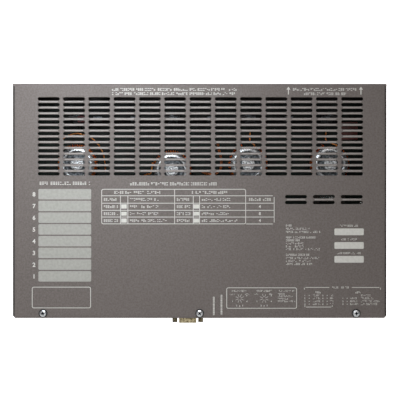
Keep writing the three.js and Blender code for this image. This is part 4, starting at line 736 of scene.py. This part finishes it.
def makeCrossHead(bm, x, z, back, front, radius, turn, deep, long, wide):
    # a pan head with a cross recess: dome rings round a cross-shaped pocket
    around, tall = 32, back - front

    def ring(y, reach):  # reach gives the radius at each angle from the cross's first arm
        points = []
        for i in range(around):
            a = fullTurn * i / around
            b = a + fullTurn * turn
            points.append(bm.verts.new((x + reach(a) * math.cos(b), y, z + reach(a) * math.sin(b))))
        return points

    def crossEdge(share):
        def reach(a):
            fold = abs((a + fullTurn / 8) % (fullTurn / 4) - fullTurn / 8)
            return min(long * share, wide * share / max(math.sin(fold), 1e-3))
        return reach

    dome = [(radius, back), (radius, back - tall * 0.45), (radius * 0.93, back - tall * 0.78),
            (radius * 0.74, front + 0.06)]
    loops = [ring(y, lambda a, r=r: r) for r, y in dome]
    for a, b in zip(loops, loops[1:]):
        ringBetween(bm, a, b)
    edge, low = ring(front, crossEdge(1.0)), ring(front + deep * 0.7, crossEdge(0.72))
    ringBetween(bm, loops[-1], edge)
    # the pocket takes the second, near-black material: painted shade
    ringBetween(bm, edge, low, 1)
    tip = bm.verts.new((x, front + deep, z))
    for i in range(around):
        bm.faces.new((low[i], low[(i + 1) % around], tip)).material_index = 1
    bm.faces.new(list(reversed(loops[0])))


def makeCoverScrew(side, x):
    s, z, bm = coverScrew, cover["holeZ"], bmesh.new()
    makeCrossHead(bm, x, z, s["headBack"], s["headFront"], s["headRadius"], s["turns"][side], *s["recess"])
    length, pitches = s["end"] - s["headBack"] - 0.7, s["threads"]
    thread = [(0, 0.35), (0.9, 0.35)]
    for i in range(pitches):
        y = 0.6 + length * i / pitches
        thread += [(s["shank"], y), (s["shank"] - 0.3, y + length * 0.5 / pitches)]
    thread += [(0.9, length + 0.6), (0, length + 0.68)]
    addLathe(bm, [(r, -y) for r, y in thread], (x, s["headBack"] - 0.35, z), 20)
    piece = putPiece("pan_screw_" + side, "cover_screw_" + side, bm, [zincPlate, recessShadeSteel], 30)
    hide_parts("cover_screw_" + side)


def makeScrewWashers():  # a thin black nylon washer under each head, its black a painted shadow ring round the head
    bm = bmesh.new()
    inner, outer, thick = coverScrew["washer"]
    for x in coverScrew["places"].values():
        addLathe(bm, [(inner, 0), (outer, 0), (outer, thick * 0.7), (outer - 0.15, thick), (inner, thick),
                      (inner, 0)],
                 (x, cover["front"] - hair, cover["holeZ"]), 40)
    putPiece("screw_washers_painted_shade", "cover", bm, blackMoulding, 40, weld=True)


for side, x in coverScrew["places"].items():
    makeCoverScrew(side, x)
makeScrewWashers()
print("cover screws turned")


# Suppression chokes

choke = {"places": ((-121.8, 36.5), (-27.8, 30.6), (48.1, 36.5), (129.7, 36.5)), "middle": -22.7, "board": -13.3,
         "coreOuter": 18.3, "coreInner": 9.6, "coreHigh": 14.0, "wire": 1.35, "turns": 47, "steps": 14,
         "gap": 0.1, "gapTurns": (0.36, 0.5, 0.25, 0.25), "layers": (1.15, 0.15), "square": 0.42,
         "washerBack": -32.3, "washerOuter": 17.6, "nutTurns": (0.02, 0.055, 0.03, 0.07)}
# where each last turn runs down to the board; the first lead arches over and round the right side of its ring
chokeLeads = (
    ((-136.7, -27.5, 53.7), (-137.3, -29, 59.6), (-133.5, -30, 63.5), (-127.9, -31, 65.8), (-121.9, -31.5, 67.0),
     (-115.9, -31.5, 66.0), (-109.5, -31, 63.9), (-104.6, -30, 60.0), (-100.4, -29, 55.4), (-97.4, -27, 49.9),
     (-95.6, -24, 43.8), (-94.9, -20, 38.4), (-94.8, -16, 33.0), (-94.9, -13.3, 29.1)),
    ((-48.5, -27, 27.8), (-52.1, -24, 26.8), (-55.3, -20, 25.4), (-58.1, -13.3, 23.0)),
    ((50.3, -25, 59.8), (50.4, -22, 66.9), (50.7, -13.3, 70.8)),
    ((126.7, -25, 59.8), (126.4, -22, 66.9), (127.2, -13.3, 70.8)))


def windingPoints(cx, cz, gapTurn):
    # every other turn lies deeper in the bore, as the bore holds less than the rim
    half, steps = choke["wire"] / 2, choke["steps"]
    outer, high = choke["coreOuter"] + half + 0.5, choke["coreHigh"] / 2 + half + 0.1
    points = []
    for turn in range(choke["turns"]):
        inner = choke["coreInner"] - half - choke["layers"][turn % 2]
        for k in range(steps):
            share = k / steps
            a = fullTurn * (gapTurn + choke["gap"] / 2 + (1 - choke["gap"]) * (turn + share) / choke["turns"])
            # a round turn pressed square against the ring
            c, s = [math.copysign(abs(v) ** choke["square"], v)
                    for v in (math.cos(fullTurn * share), math.sin(fullTurn * share))]
            r = (outer + inner) / 2 + c * (outer - inner) / 2
            points.append(Vector((cx + r * math.cos(a), choke["middle"] + s * high, cz + r * math.sin(a))))
    return points


def makeWinding(number, cx, cz):
    bm, board, radius = bmesh.new(), choke["board"], choke["wire"] / 2
    wire = windingPoints(cx, cz, choke["gapTurns"][number - 1])
    first, last = wire[0], wire[-1]
    outFirst, outLast = [(Vector((p.x, 0, p.z)) - Vector((cx, 0, cz))).normalized() for p in (first, last)]
    start = [Vector((first.x, board, first.z)) + outFirst * 1.6,
             Vector((first.x, board - 2.5, first.z)) + outFirst * 1.4]
    end = [Vector(p) for p in chokeLeads[number - 1]]
    if number > 1:
        end.insert(0, last + outLast * 1.2 + Vector((0, 1.0, 0)))
    addTube(bm, smoothPath(start + [first], 5)[:-1] + wire, radius, 8)
    # the lead takes the second, paler wire: painted light
    addTube(bm, smoothPath([last] + end, 6), radius, 8, 1)
    piece = putPiece("choke_wire_%d" % number, "case", bm, [magnetWire, litLeadWire], 60)
    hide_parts("choke_winding_%d" % number)


def makeDishedWasher(number, cx, cz):
    # pressed dished washer: rolled rim, broad bright ring, and a step down to the sunk floor under the nut
    bm, r, floor = bmesh.new(), choke["washerOuter"], 12.4
    face = [(r - 0.9, 0.0), (r - 0.2, 0.3), (r, 0.9), (r - 0.2, 1.7), (r - 0.8, 2.35), (r - 1.7, 2.8),
            (14.5, 3.35), (13.5, 3.5), (12.9, 3.3), (12.2, 2.2), (11.7, 1.65), (11.0, 1.5), (8.4, 1.5),
            (7.7, 1.75), (7.2, 2.15), (3.3, 2.15)]
    back = [(3.3, 1.35), (7.1, 1.35), (7.8, 0.9), (8.6, 0.7), (11.2, 0.7), (12.2, 0.95), (12.9, 1.75), (13.5, 2.8),
            (14.4, 2.6), (r - 1.9, 2.1), (r - 1.2, 1.6), (r - 0.9, 0.9)]
    addLathe(bm, face + back + [face[0]], (cx, choke["washerBack"], cz), 56)
    # the sunk floor inside 12.4 mm takes the darker plate: painted shade
    for part in bm.faces:
        middle = part.calc_center_median()
        part.material_index = int(math.hypot(middle.x - cx, middle.z - cz) < floor)
    piece = putPiece("dished_washer_%d" % number, "case", bm, [zincPlate, shadedZinc], 50, weld=True)
    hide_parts("choke_washer_%d" % number)


def makeBolt(number, cx, cz):
    # plain washer, hexagon nut with chamfers, and the threaded end standing through it
    bm, seat = bmesh.new(), (cx, choke["washerBack"] - 2.15, cz)
    addLathe(bm, [(3.1, 0.0), (6.2, 0.0), (6.4, 0.2), (6.4, 1.0), (6.15, 1.2), (3.1, 1.2)], seat, 40)
    addLathe(bm, [(2.9, 1.22), (5.2, 1.22), (5.75, 1.5), (5.75, 4.9), (5.1, 5.35), (3.1, 5.35)], seat, 6,
             turn=choke["nutTurns"][number - 1])
    stem = [(0, 19.0), (2.9, 19.0)]
    for i in range(9):
        stem += [(2.95, 2.0 - i * 0.86), (2.55, 1.57 - i * 0.86)]
    stem += [(2.2, -6.0), (0, -6.15)]
    addLathe(bm, [(r, -y) for r, y in stem], seat, 24)
    piece = putPiece("bolt_and_nut_%d" % number, "case", bm, zincPlate, 28, 0.12, 2)
    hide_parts("choke_bolt_%d" % number)


for number, (cx, cz) in enumerate(choke["places"], 1):
    makeWinding(number, cx, cz)
    makeDishedWasher(number, cx, cz)
    makeBolt(number, cx, cz)
print("chokes wound")


# Small parts on the boards and the heat sink

bpy.context.view_layer.update()


def boxOf(name):  # the bounds of a CAD node in millimetres
    corners = [nodes[name].matrix_world @ Vector(c) for c in nodes[name].bound_box]
    return [min(c[i] for c in corners) / mm for i in range(3)], [max(c[i] for c in corners) / mm for i in range(3)]


def paintFaces(name, material, test):  # a second material on the faces whose middles, in millimetres, pass a test
    mesh = nodes[name].data
    mesh.materials.append(material)
    for face in mesh.polygons:
        if test(nodes[name].matrix_world @ face.center / mm):
            face.material_index = len(mesh.materials) - 1


powerFront, controlFront = -13.1, -53.6
chokeX = [place[0] for place in choke["places"]]

# low domed rivets hold the power board to its pillars, and two screws the control board
boardRivet = {"x": (-163.0, 0.0, 163.0), "z": (94.0, -2.34, -57.0), "head": 2.1, "tall": 1.7}
boardScrew = {"places": ((-24.1, -70.8), (162.8, -70.8)), "washer": 3.6, "headBack": 0.62, "headFront": 2.6,
              "head": 2.75, "turn": 0.013, "recess": (1.2, 1.5, 0.38)}


def makeBoardScrews():
    bm = bmesh.new()
    r, tall = boardRivet["head"], boardRivet["tall"]
    dome = [(0.0, tall + 0.5), (r * 0.25, tall + 0.49), (r * 0.5, tall + 0.44), (r * 0.75, tall + 0.33),
            (r * 0.92, tall + 0.1), (r, tall - 0.3), (r, 0.0), (0.0, 0.0)]
    for x in boardRivet["x"]:
        for z in boardRivet["z"]:
            addLathe(bm, dome, (x, powerFront, z), 28)
    putPiece("power_board_rivets", "case", bm, polishedNickel, 40)
    bm = bmesh.new()
    s, r = boardScrew, boardScrew["washer"]
    for i, (x, z) in enumerate(s["places"]):
        addLathe(bm, [(1.7, 0), (r, 0), (r, 0.5), (r - 0.15, 0.6), (1.7, 0.6)], (x, controlFront, z), 28)
        makeCrossHead(bm, x, z, controlFront - s["headBack"], controlFront - s["headFront"], s["head"],
                      s["turn"] * i, *s["recess"])
    putPiece("control_board_screws", "case", bm, [zincPlate, recessShadeSteel], 30)


makeBoardScrews()

# insulated triacs lie on the upper face of the heat sink: a body, a moulded tab with a screw,
# and three legs to the board
triac = {"half": 7.75, "bodyBack": -20.9, "bodyFront": -32.9, "tabFront": -40.9, "low": 82.3, "tab": 1.5,
         "thick": 4.6, "screwY": -36.9, "legPitch": 5.4, "leg": 0.42, "sinkLow": 79.4}


def makeTriac(number):
    x, low, bm = chokeX[number - 1], triac["low"], bmesh.new()
    half, front, back, top = triac["half"], triac["bodyFront"], triac["bodyBack"], triac["low"] + triac["thick"]
    side = [(back, low + 0.4), (back + 0.5, low + 2.3), (back, top), (front + 1.4, top), (front, low + 2.2),
            (front + 0.15, low + 0.02), (back, low + 0.02)]
    addSlab(bm, side, x - half, x + half, 0, "x")
    addBlock(bm, (x - half + 0.15, triac["tabFront"], low), (x + half - 0.15, front + 2.5, low + triac["tab"]))
    for k in (-1, 0, 1):
        at = x + k * triac["legPitch"]
        bend = [(at, back - 0.3, low + 2.3), (at, back + 2.5, low + 2.3), (at, back + 5.0, low + 1.9),
                (at, powerFront, low + 1.8)]
        addTube(bm, smoothPath(bend, 4), triac["leg"], 6, 1)
    seat, under = (x, triac["screwY"], low + triac["tab"]), (x, triac["screwY"], triac["sinkLow"])
    up = (0, 0, 1)
    # the tab's washer and screw take the darkened plate: painted shade
    addLathe(bm, [(1.9, 0.02), (3.6, 0.02), (3.6, 0.6), (1.9, 0.62)], seat, 24, 2, up)
    addLathe(bm, [(0, 0.6), (2.7, 0.6), (2.7, 1.7), (2.3, 2.1), (1.3, 2.25), (1.2, 1.5), (0, 1.4)], seat, 24, 2,
             up)
    addLathe(bm, [(0, 0.05), (3.2, 0.05), (3.6, 0.3), (3.6, 2.1), (3.2, 2.4), (1.9, 2.4), (1.8, 3.4), (0, 3.5)],
             under, 6, 0, (0, 0, -1))
    piece = putPiece("triac_body_%d" % number, "case", bm, [chipEpoxy, tinnedMetal, shadedZinc], 30, 0.15, 2)
    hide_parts("triac_%d" % number)


for number in range(1, 5):
    makeTriac(number)

# spring clips grip the front edge of the heat sink: a U of strip with a rolled lip
sinkClip = {"x": (-100.6, -63.7, -25.8, 11.2, 50.6, 88.0, 124.0), "half": 4.3, "front": -44.1, "top": 82.55,
            "low": 78.9}
# a thermal cut-out is sleeved to the front edge beside the first triac
cutOut = {"low": (-120.0, -48.2, 77.2), "high": (-112.6, -44.3, 83.6), "corner": 1.6, "wires": (-118.0, -114.6),
          "wire": 0.55}


def makeClips():
    bm = bmesh.new()
    f, t, b = sinkClip["front"], sinkClip["top"], sinkClip["low"]
    section = [(f + 2.4, t - 0.5), (f + 2.4, t), (f + 0.4, t), (f, t - 0.4), (f, b + 0.4), (f + 0.4, b),
               (f + 5.5, b), (f + 6.6, b - 0.9), (f + 6.2, b - 1.2), (f + 5.3, b - 0.45), (f + 0.2, b - 0.45),
               (f - 0.5, b + 0.2), (f - 0.5, t + 0.1), (f + 0.2, t + 0.5), (f + 2.6, t + 0.5)]
    for x in sinkClip["x"]:
        addSlab(bm, section, x - sinkClip["half"], x + sinkClip["half"], 0, "x")
    # the clips take the darkened plate: painted shade
    putPiece("heat_sink_clips", "case", bm, shadedZinc, 30, 0.08, 1)
    bm = bmesh.new()
    addBlock(bm, cutOut["low"], cutOut["high"], 0, cutOut["corner"])
    for x in cutOut["wires"]:
        addTube(bm, smoothPath([(x, -46.2, 77.6), (x, -46.0, 73.0), (x + 1, -38.0, 68.0), (x + 1, -22.0, 66.0),
                                (x + 1, powerFront, 66.0)], 5), cutOut["wire"], 8, 1)
    putPiece("thermal_cutout", "case", bm, [darkRedSleeve, blackMoulding], 40, 0.4, 3)


makeClips()

# cartridge fuses: glass tube, two plated caps with rolled ends, and the element on the axis
fuse = {"y": -18.65, "z": 2.45, "half": 16.0, "cap": 6.5, "capRadius": 3.15, "glass": 2.8, "wall": 0.7,
        "element": 0.18}


def makeFuse(number):
    x, y, z, bm = chokeX[number - 1], fuse["y"], fuse["z"], bmesh.new()
    r, g, along = fuse["capRadius"], fuse["glass"], (1, 0, 0)
    for sign in (-1, 1):
        end = fuse["half"] * sign
        start = end - sign * fuse["cap"]
        # the caps and the element take the darkened plate: painted shade
        addLathe(bm, [(g + 0.02, start), (r, start), (r, end - sign * 0.8), (r - 0.2, end - sign * 0.25),
                      (r - 0.7, end), (0, end - sign * 0.1)], (x, y, z), 28, 1, along)
    reach, inner = fuse["half"] - fuse["cap"] + 1, g - fuse["wall"]
    addLathe(bm, [(g, -reach), (g, reach), (inner, reach), (inner, -reach), (g, -reach)], (x, y, z), 28, 0, along)
    addTube(bm, [(x - reach, y, z), (x + reach, y, z)], fuse["element"], 6, 1)
    piece = putPiece("fuse_body_%d" % number, "case", bm, [fuseGlass, shadedCapPlate], 40)
    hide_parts("channel_fuse_%d" % number)


for number in range(1, 5):
    makeFuse(number)
# the power board's front-facing parts take the darkened plate: painted shade
paintFaces("power_board", shadedCapPlate, lambda p: p.y < powerFront - 0.05)
paintFaces("control_board", blackMoulding, lambda p: p.y < controlFront - 0.05)

# film capacitor: a moulded box with rounded edges, standing off on two leads
filmBox = {"corner": 1.2, "standOff": 0.3, "leadInset": 3, "lead": 0.5}


def makeFilmCapacitor():
    (x0, y0, z0), (x1, y1, z1) = boxOf("suppression_capacitor")
    bm = bmesh.new()
    addBlock(bm, (x0, y0, z0), (x1, y1 - filmBox["standOff"], z1), 0, filmBox["corner"])
    for z in (z0 + filmBox["leadInset"], z1 - filmBox["leadInset"]):
        addTube(bm, [((x0 + x1) / 2, y1 - 0.5, z), ((x0 + x1) / 2, powerFront, z)], filmBox["lead"], 8, 1)
    piece = putPiece("film_capacitor", "case", bm, [redBrownBox, tinnedMetal], 40, 0.5, 3)
    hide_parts("suppression_capacitor")


makeFilmCapacitor()

# materials of the small parts, in the order of their numbers in each mesh
epoxyPart, leadPart, resistorPart, ceramicPart, sleevePart, whitePart = range(6)
partMaterials = [chipEpoxy, tinnedMetal, resistorCoat, creamCeramic, shrunkSleeve, whiteMoulding]
pinPitch = 2.54


def addResistor(bm, x, z, seat, along, long, radius, body=resistorPart):
    # a dipped body with swollen ends on two bent leads
    y, h, lead = seat - radius - 0.5, long / 2, 0.3
    half = [(0, h), (radius * 0.7, h - 0.1), (radius, h - 0.6), (radius, h - 1.5), (radius * 0.84, h - 1.9)]
    addLathe(bm, [(r, -d) for r, d in half] + half[::-1], (x, y, z), 18, body,
             (1, 0, 0) if along == "x" else (0, 0, 1))
    for sign in (-1, 1):
        ends = [(sign * h, y), (sign * (h + 1.5), y), (sign * (h + 2.0), y + 0.5), (sign * (h + 2.0), seat)]
        addTube(bm, [(x + d, w, z) if along == "x" else (x, w, z + d) for d, w in ends], lead, 6, leadPart)


def addChip(bm, x, z, seat, legs, wide=6.4):
    # a dual-in-line package along X, with a dimple at its first leg and its legs bent down to the board
    left = x - (legs * pinPitch + 0.6) / 2
    addBlock(bm, (left, seat - 3.8, z - wide / 2), (2 * x - left, seat - 0.5, z + wide / 2), epoxyPart, 0.3)
    addLathe(bm, [(0, 0.0), (0.8, 0.0), (0.8, 0.12), (0, 0.12)], (left + 1.2, seat - 3.72, z), 16, leadPart)
    for i in range(legs):
        at = x + (i - (legs - 1) / 2) * pinPitch
        for sign in (-1, 1):
            edge = z + sign * wide / 2
            addTube(bm, [(at, seat - 2.1, edge - sign * 0.2), (at, seat - 2.1, edge + sign * 0.6),
                         (at, seat - 1.6, edge + sign * 0.75), (at, seat, edge + sign * 0.75)], 0.27, 4, leadPart)


def addCan(bm, x, z, seat, radius, tall):
    # an electrolytic can standing on its board: sleeve, rolled neck and a bare top
    rim = (radius - 1.1, tall - 0.1)
    addLathe(bm, [(radius - 0.5, 0.05), (radius - 0.1, 0.5), (radius, 1.0), (radius - 0.35, 2.2), (radius, 3.2),
                  (radius, tall - 0.7), (radius - 0.3, tall - 0.15), (radius - 0.9, tall), rim],
             (x, seat, z), 32, sleevePart)
    addLathe(bm, [rim, (radius - 1.3, tall - 0.25), (0, tall - 0.25)], (x, seat, z), 32, leadPart)


def makePowerParts():
    bm, seat = bmesh.new(), powerFront
    for number, x in enumerate(chokeX):
        # each channel: an isolator for its triac, gate resistors and a snubber
        addChip(bm, x - 9, -9.5, seat, 3)
        addResistor(bm, x + 5, -7.5, seat, "x", 6.5, 1.3)
        addResistor(bm, x + 5, -12.5, seat, "x", 9.5, 1.9)
        if number < 3:
            addBlock(bm, (x - 15, seat - 9.0, -26.5), (x - 2, seat - 0.6, -21.0), ceramicPart, 0.4)
            addResistor(bm, x + 7, -24.0, seat, "x", 11.0, 2.2, ceramicPart)
    for x, z, radius, tall in ((58.0, -32.0, 6.3, 20.0), (76.0, -32.0, 6.3, 20.0), (88.5, -20.0, 4.0, 11.0)):
        addCan(bm, x, z, seat, radius, tall)
    for i in range(4):  # rectifier diodes
        addResistor(bm, 62.0 + i * 5.2, -49.0, seat, "z", 5.2, 1.35, epoxyPart)
    addBlock(bm, (10.0, seat - 6.5, -48.0), (32.0, seat - 0.2, -41.0), whitePart, 0.4)  # a pin header
    for i in range(8):
        x = 12.2 + i * 2.5
        addTube(bm, [(x, seat - 0.5, -44.5), (x, seat - 8.6, -44.5)], 0.32, 4, leadPart)
    putPiece("power_board_parts", "case", bm, partMaterials, 32, 0.12, 1)


def makeControlParts():
    bm, seat = bmesh.new(), controlFront
    addChip(bm, 3.0, -84.0, seat, 14, 7.2)
    for x, z, legs in ((118.0, -75.5, 4), (134.0, -75.5, 4), (118.0, -87.5, 8)):
        addChip(bm, x, z, seat, legs)
    for x in (104.5, 108.0):
        addResistor(bm, x, -80.0, seat, "z", 5.5, 1.1)
    for x in (-17.0, -11.0, -5.0, 9.0, 15.0):
        addResistor(bm, x, -95.5, seat, "z", 4.2, 0.95)
    for x, z in ((148.5, -76.5), (156.5, -82.0)):
        addCan(bm, x, z, seat, 3.1, 8.5)
    addBlock(bm, (24.5, seat - 3.4, -93.5), (35.5, seat - 0.3, -89.2), leadPart, 2.1)  # the crystal's can
    putPiece("control_board_parts", "case", bm, partMaterials[:5], 32, 0.12, 1)


def makeSensorWires():  # a thin pair is laced along the board between the second and third chokes
    bm = bmesh.new()
    for shift in (0.0, 1.3):
        path = [(17.6 + shift, -15.2, 58.0), (19.0 + shift, -15.6, 50.4), (20.4 + shift, -15.6, 45.4),
                (21.1 + shift, -15.6, 39.1), (20.2 + shift, -15.4, 32.0), (17.4, -15.4, 27.4 + shift),
                (11.0, -15.4, 26.4 + shift), (5.4, -15.2, 27.4 + shift), (0.0, -14.6, 30.0 + shift)]
        addTube(bm, smoothPath(path, 6), 0.5, 8)
    putPiece("sensor_wires", "case", bm, orangeSleeve, 60)


makePowerParts()
makeControlParts()
makeSensorWires()

# screws stand in the wells of the terminal blocks: (first x, pitch, count) of each block
terminal = {"supply": (-153.0, 12.0, 3), "load": (-106.25, 9.5, 8), "z": -54.0, "front": -28.8, "tall": 1.6,
            "radius": 1.85, "recess": (1.0, 1.35, 0.34)}
# a nut with two washers sits on the earth stud
earthStud = {"place": (-164.6, -2.75, -92.8), "bore": 2.6, "washers": ((0.0, 5.0), (0.95, 4.6)), "sheet": 0.9}


def makeTerminalScrews():
    bm = bmesh.new()
    for start, pitch, count in (terminal["supply"], terminal["load"]):
        for i in range(count):
            makeCrossHead(bm, start + i * pitch, terminal["z"], terminal["front"] + terminal["tall"],
                          terminal["front"], terminal["radius"], 0.03 + 0.021 * i, *terminal["recess"])
    bore, sheet = earthStud["bore"], earthStud["sheet"]
    for seat, r in earthStud["washers"]:
        addLathe(bm, [(bore, seat), (r, seat), (r, seat + sheet), (bore, seat + sheet)], earthStud["place"], 32)
    addLathe(bm, [(2.55, 1.9), (4.0, 1.9), (4.6, 2.2), (4.6, 5.6), (4.0, 6.0), (2.55, 6.0)], earthStud["place"], 6)
    putPiece("terminal_screws", "case", bm, [zincPlate, recessShadeSteel], 30)


makeTerminalScrews()
print("small parts placed")


# Sockets, lamps and grommets on the lower wall

paintFaces("input_socket_insert", goldContact, lambda p: p.z < -113.3)
for lamp in ("indicator_lamp_1", "indicator_lamp_2"):
    paintFaces(lamp, tinnedMetal, lambda p: p.y > -58.5)  # their legs
coilLow, coilHigh = boxOf("transformer_coil")
paintFaces("transformer_coil", blackMoulding, lambda p: p.z < coilLow[2] + 1.1 or p.z > coilHigh[2] - 1.1)
paintFaces("board_link_cable", blackMoulding, lambda p: p.y < -56.8 or p.y > -17.5)  # its two plugs

grommet = {"x": [share * 177 for share in (-0.852, -0.67, -0.489, -0.307)], "y": -41.75, "low": -111.9}


def makeGrommets():
    # one lathe each: outer lip, groove for the sheet, inner lip and a flared bore
    rim = [(7.6, 0.0), (9.8, 0.0), (11.6, 0.25), (12.4, 0.75), (12.5, 1.05), (10.1, 1.1), (10.05, 1.7),
           (10.1, 2.5), (12.1, 2.55), (12.3, 3.0), (11.6, 3.8), (10.0, 4.4), (8.2, 4.5), (7.3, 4.2), (7.0, 3.4),
           (7.0, 1.2), (7.2, 0.4), (7.6, 0.0)]
    for number, x in enumerate(grommet["x"], 1):
        bm = bmesh.new()
        addLathe(bm, rim, (x, grommet["y"], grommet["low"]), 48, axis=(0, 0, 1))
        piece = putPiece("grommet_%d" % number, "case", bm, neoprene, 50, weld=True)
        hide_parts("cable_grommet_%d" % number)


makeGrommets()

roundSocket = {"x": (38.4, 61.8), "y": -62.4, "face": -110.5, "pins": 5, "pinCircle": 3.4}
dataJack = {"x": (113.95 - 7.5, 113.95 + 7.5), "y": -60.6, "wires": 8, "pitch": 1.02, "wire": 0.23}


def makeContacts():
    # round sockets: a plated shield ring, and five sleeves in the holes
    bm = bmesh.new()
    y, face, reach, up = roundSocket["y"], roundSocket["face"], roundSocket["pinCircle"], (0, 0, 1)
    for x in roundSocket["x"]:
        addLathe(bm, [(6.2, 0.3), (6.5, 0.05), (6.5, 1.5), (6.2, 1.5), (6.2, 0.3)], (x, y, face), 40, 0, up)
        for i in range(roundSocket["pins"]):
            a = math.pi * i / 4
            addLathe(bm, [(0.72, 0.0), (0.8, 0.0), (0.8, 2.5), (0.72, 2.5)],
                     (x + reach * math.cos(a), y - reach * math.sin(a), face + 1.7), 12, 0, up)
    putPiece("round_socket_contacts", "case", bm, tinnedMetal, 40)
    # data jacks: sprung wires slope down from the roof of each opening
    bm = bmesh.new()
    y = dataJack["y"]
    for middle in dataJack["x"]:
        for i in range(dataJack["wires"]):
            x = middle + (i - (dataJack["wires"] - 1) / 2) * dataJack["pitch"]
            addTube(bm, [(x, y - 2.9, -109.0), (x, y - 2.3, -107.0), (x, y + 0.9, -101.0), (x, y + 1.0, -99.6)],
                    dataJack["wire"], 6)
    putPiece("jack_contacts", "case", bm, goldContact, 60)


makeContacts()

# plain digits stand round each dial, printed on the control board
dials = {"x": (53.1, 68.145, 83.19), "z": -77.6, "reach": 6.8, "stretch": 1.22, "high": 1.6, "lift": 0.03}


def makeDialDigits():
    bm = bmesh.new()
    for x in dials["x"]:
        for i in range(10):
            a = fullTurn * (0.25 - i / 10)
            addDigit(bm, str(i), x + dials["reach"] * math.cos(a), controlFront - dials["lift"],
                     dials["z"] + dials["reach"] * dials["stretch"] * math.sin(a), dials["high"], steps=12)
    putPiece("dial_digits", "case", bm, screenInk, 20)


makeDialDigits()
print("sockets finished")


# Studio

studio = {"floor": -0.5, "back": 3.0, "front": -3.0, "half": 3.5, "sweep": 1.2, "rise": 3.4,
          "world": (1.0, 0.95, 0.93, 1), "worldStrength": 0.12}
# each light: place, aim, width, height, power and tint
softboxes = {
    "key_softbox": ((-0.10, -0.37, 0.19), (-0.26, -0.085, 0.08), 0.2, 0.2, 1.12, (0.95, 1.0, 1.06)),
    "front_softbox": ((0.2, -2.6, 1.8), (0.0, 0.0, 0.0), 0.9, 0.9, 12.2, (1.0, 0.93, 0.91)),
    "camera_softbox": ((0.0, -1.6, 0.1), (0.0, 0.0, 0.02), 0.9, 0.3, 1.5, (1.0, 0.97, 0.95)),
    "low_card": ((0.0, -1.6, -0.26), (0.0, -0.085, -0.1), 0.9, 0.3, 0.8, (1.0, 1.0, 1.0)),
    "top_softbox": ((0.0, 0.05, 1.1), (0.0, 0.0, 0.0), 0.9, 0.9, 4.0, (1.0, 1.0, 1.0)),
    "rear_softbox": ((0.9, 2.0, 1.2), (0.0, 0.0, 0.0), 0.9, 0.9, 16.0, (1.0, 0.99, 0.98)),
    "left_softbox": ((-2.0, 0.5, 0.7), (0.0, 0.0, 0.0), 0.9, 0.9, 9.0, (1.0, 0.99, 0.98)),
    "right_softbox": ((2.0, 0.5, 0.7), (0.0, 0.0, 0.0), 0.9, 0.9, 9.0, (1.0, 0.99, 0.98)),
}
photoCamera = {"lens": 122.6, "sensor": 36, "away": 1.3, "x": 0.00033, "z": 0.00086, "clip": 0.05}


def makeSweep():
    # a pale paper sweep: floor, curve and back in one sheet
    material, tree, shader, place = startMaterial("pale_studio_paper", {"Roughness": 0.9})
    tree.links.new(mottled(tree, place, 400, "#F4F4F3", "#F8F8F7"), shader.inputs["Base Color"])
    # the paper behind the pack glows by its own emission, painted light that rises with depth from 0.9 m to 1.7 m,
    # which keeps that light off the front
    deep = addNode(tree, "SeparateXYZ", wires={"Vector": place}).outputs["Y"]
    paintedGlow = addNode(tree, "MapRange", {"From Min": 0.9, "From Max": 1.7, "To Min": 0.0, "To Max": 1.0},
                   {"Value": deep})
    tree.links.new(paintedGlow.outputs["Result"], shader.inputs["Emission Strength"])
    shader.inputs["Emission Color"].default_value = (1, 1, 1, 1)
    floor, back, sweep, steps = studio["floor"], studio["back"], studio["sweep"], 12
    profile = [(studio["front"], floor), (back - sweep, floor)]
    for i in range(1, steps + 1):
        a = math.pi / 2 * i / steps
        profile.append((back - sweep + sweep * math.sin(a), floor + sweep * (1 - math.cos(a))))
    profile.append((back, studio["rise"]))
    bm = bmesh.new()
    rows = [[bm.verts.new((x, y, z)) for x in (-studio["half"], studio["half"])] for y, z in profile]
    for a, b in zip(rows, rows[1:]):
        bm.faces.new((a[0], a[1], b[1], b[0])).smooth = True
    mesh = bpy.data.meshes.new("studio_sweep")
    bm.to_mesh(mesh)
    bm.free()
    paper = bpy.data.objects.new("studio_sweep", mesh)
    mesh.materials.append(material)
    bpy.context.scene.collection.objects.link(paper)


def makeLights():
    world = bpy.data.worlds.new("studio")
    bpy.context.scene.world = world
    world.use_nodes = True
    world.node_tree.nodes["Background"].inputs["Color"].default_value = studio["world"]
    world.node_tree.nodes["Background"].inputs["Strength"].default_value = studio["worldStrength"]
    bpy.context.scene.view_settings.view_transform = "Standard"
    for name, (place, aim, wide, high, power, tint) in softboxes.items():
        lamp = bpy.data.lights.new(name, "AREA")
        lamp.shape = "RECTANGLE"
        lamp.size, lamp.size_y = wide, high
        lamp.energy = power
        lamp.color = tint
        holder = bpy.data.objects.new(name, lamp)
        holder.location = place
        holder.visible_camera = False
        holder.rotation_euler = (Vector(aim) - Vector(place)).to_track_quat("-Z", "Y").to_euler()
        bpy.context.scene.collection.objects.link(holder)


def makeCamera():  # straight ahead, as far from the cover as the photograph was taken
    camera = bpy.data.cameras.new("photo_camera")
    camera.sensor_width = photoCamera["sensor"]
    camera.lens = photoCamera["lens"]
    camera.clip_start = photoCamera["clip"]
    holder = bpy.data.objects.new("photo_camera", camera)
    holder.location = (photoCamera["x"], cover["front"] * mm - photoCamera["away"], photoCamera["z"])
    holder.rotation_euler = (math.pi / 2, 0, 0)
    bpy.context.scene.collection.objects.link(holder)
    bpy.context.scene.camera = holder


makeSweep()
makeLights()
makeCamera()
print("studio lit")
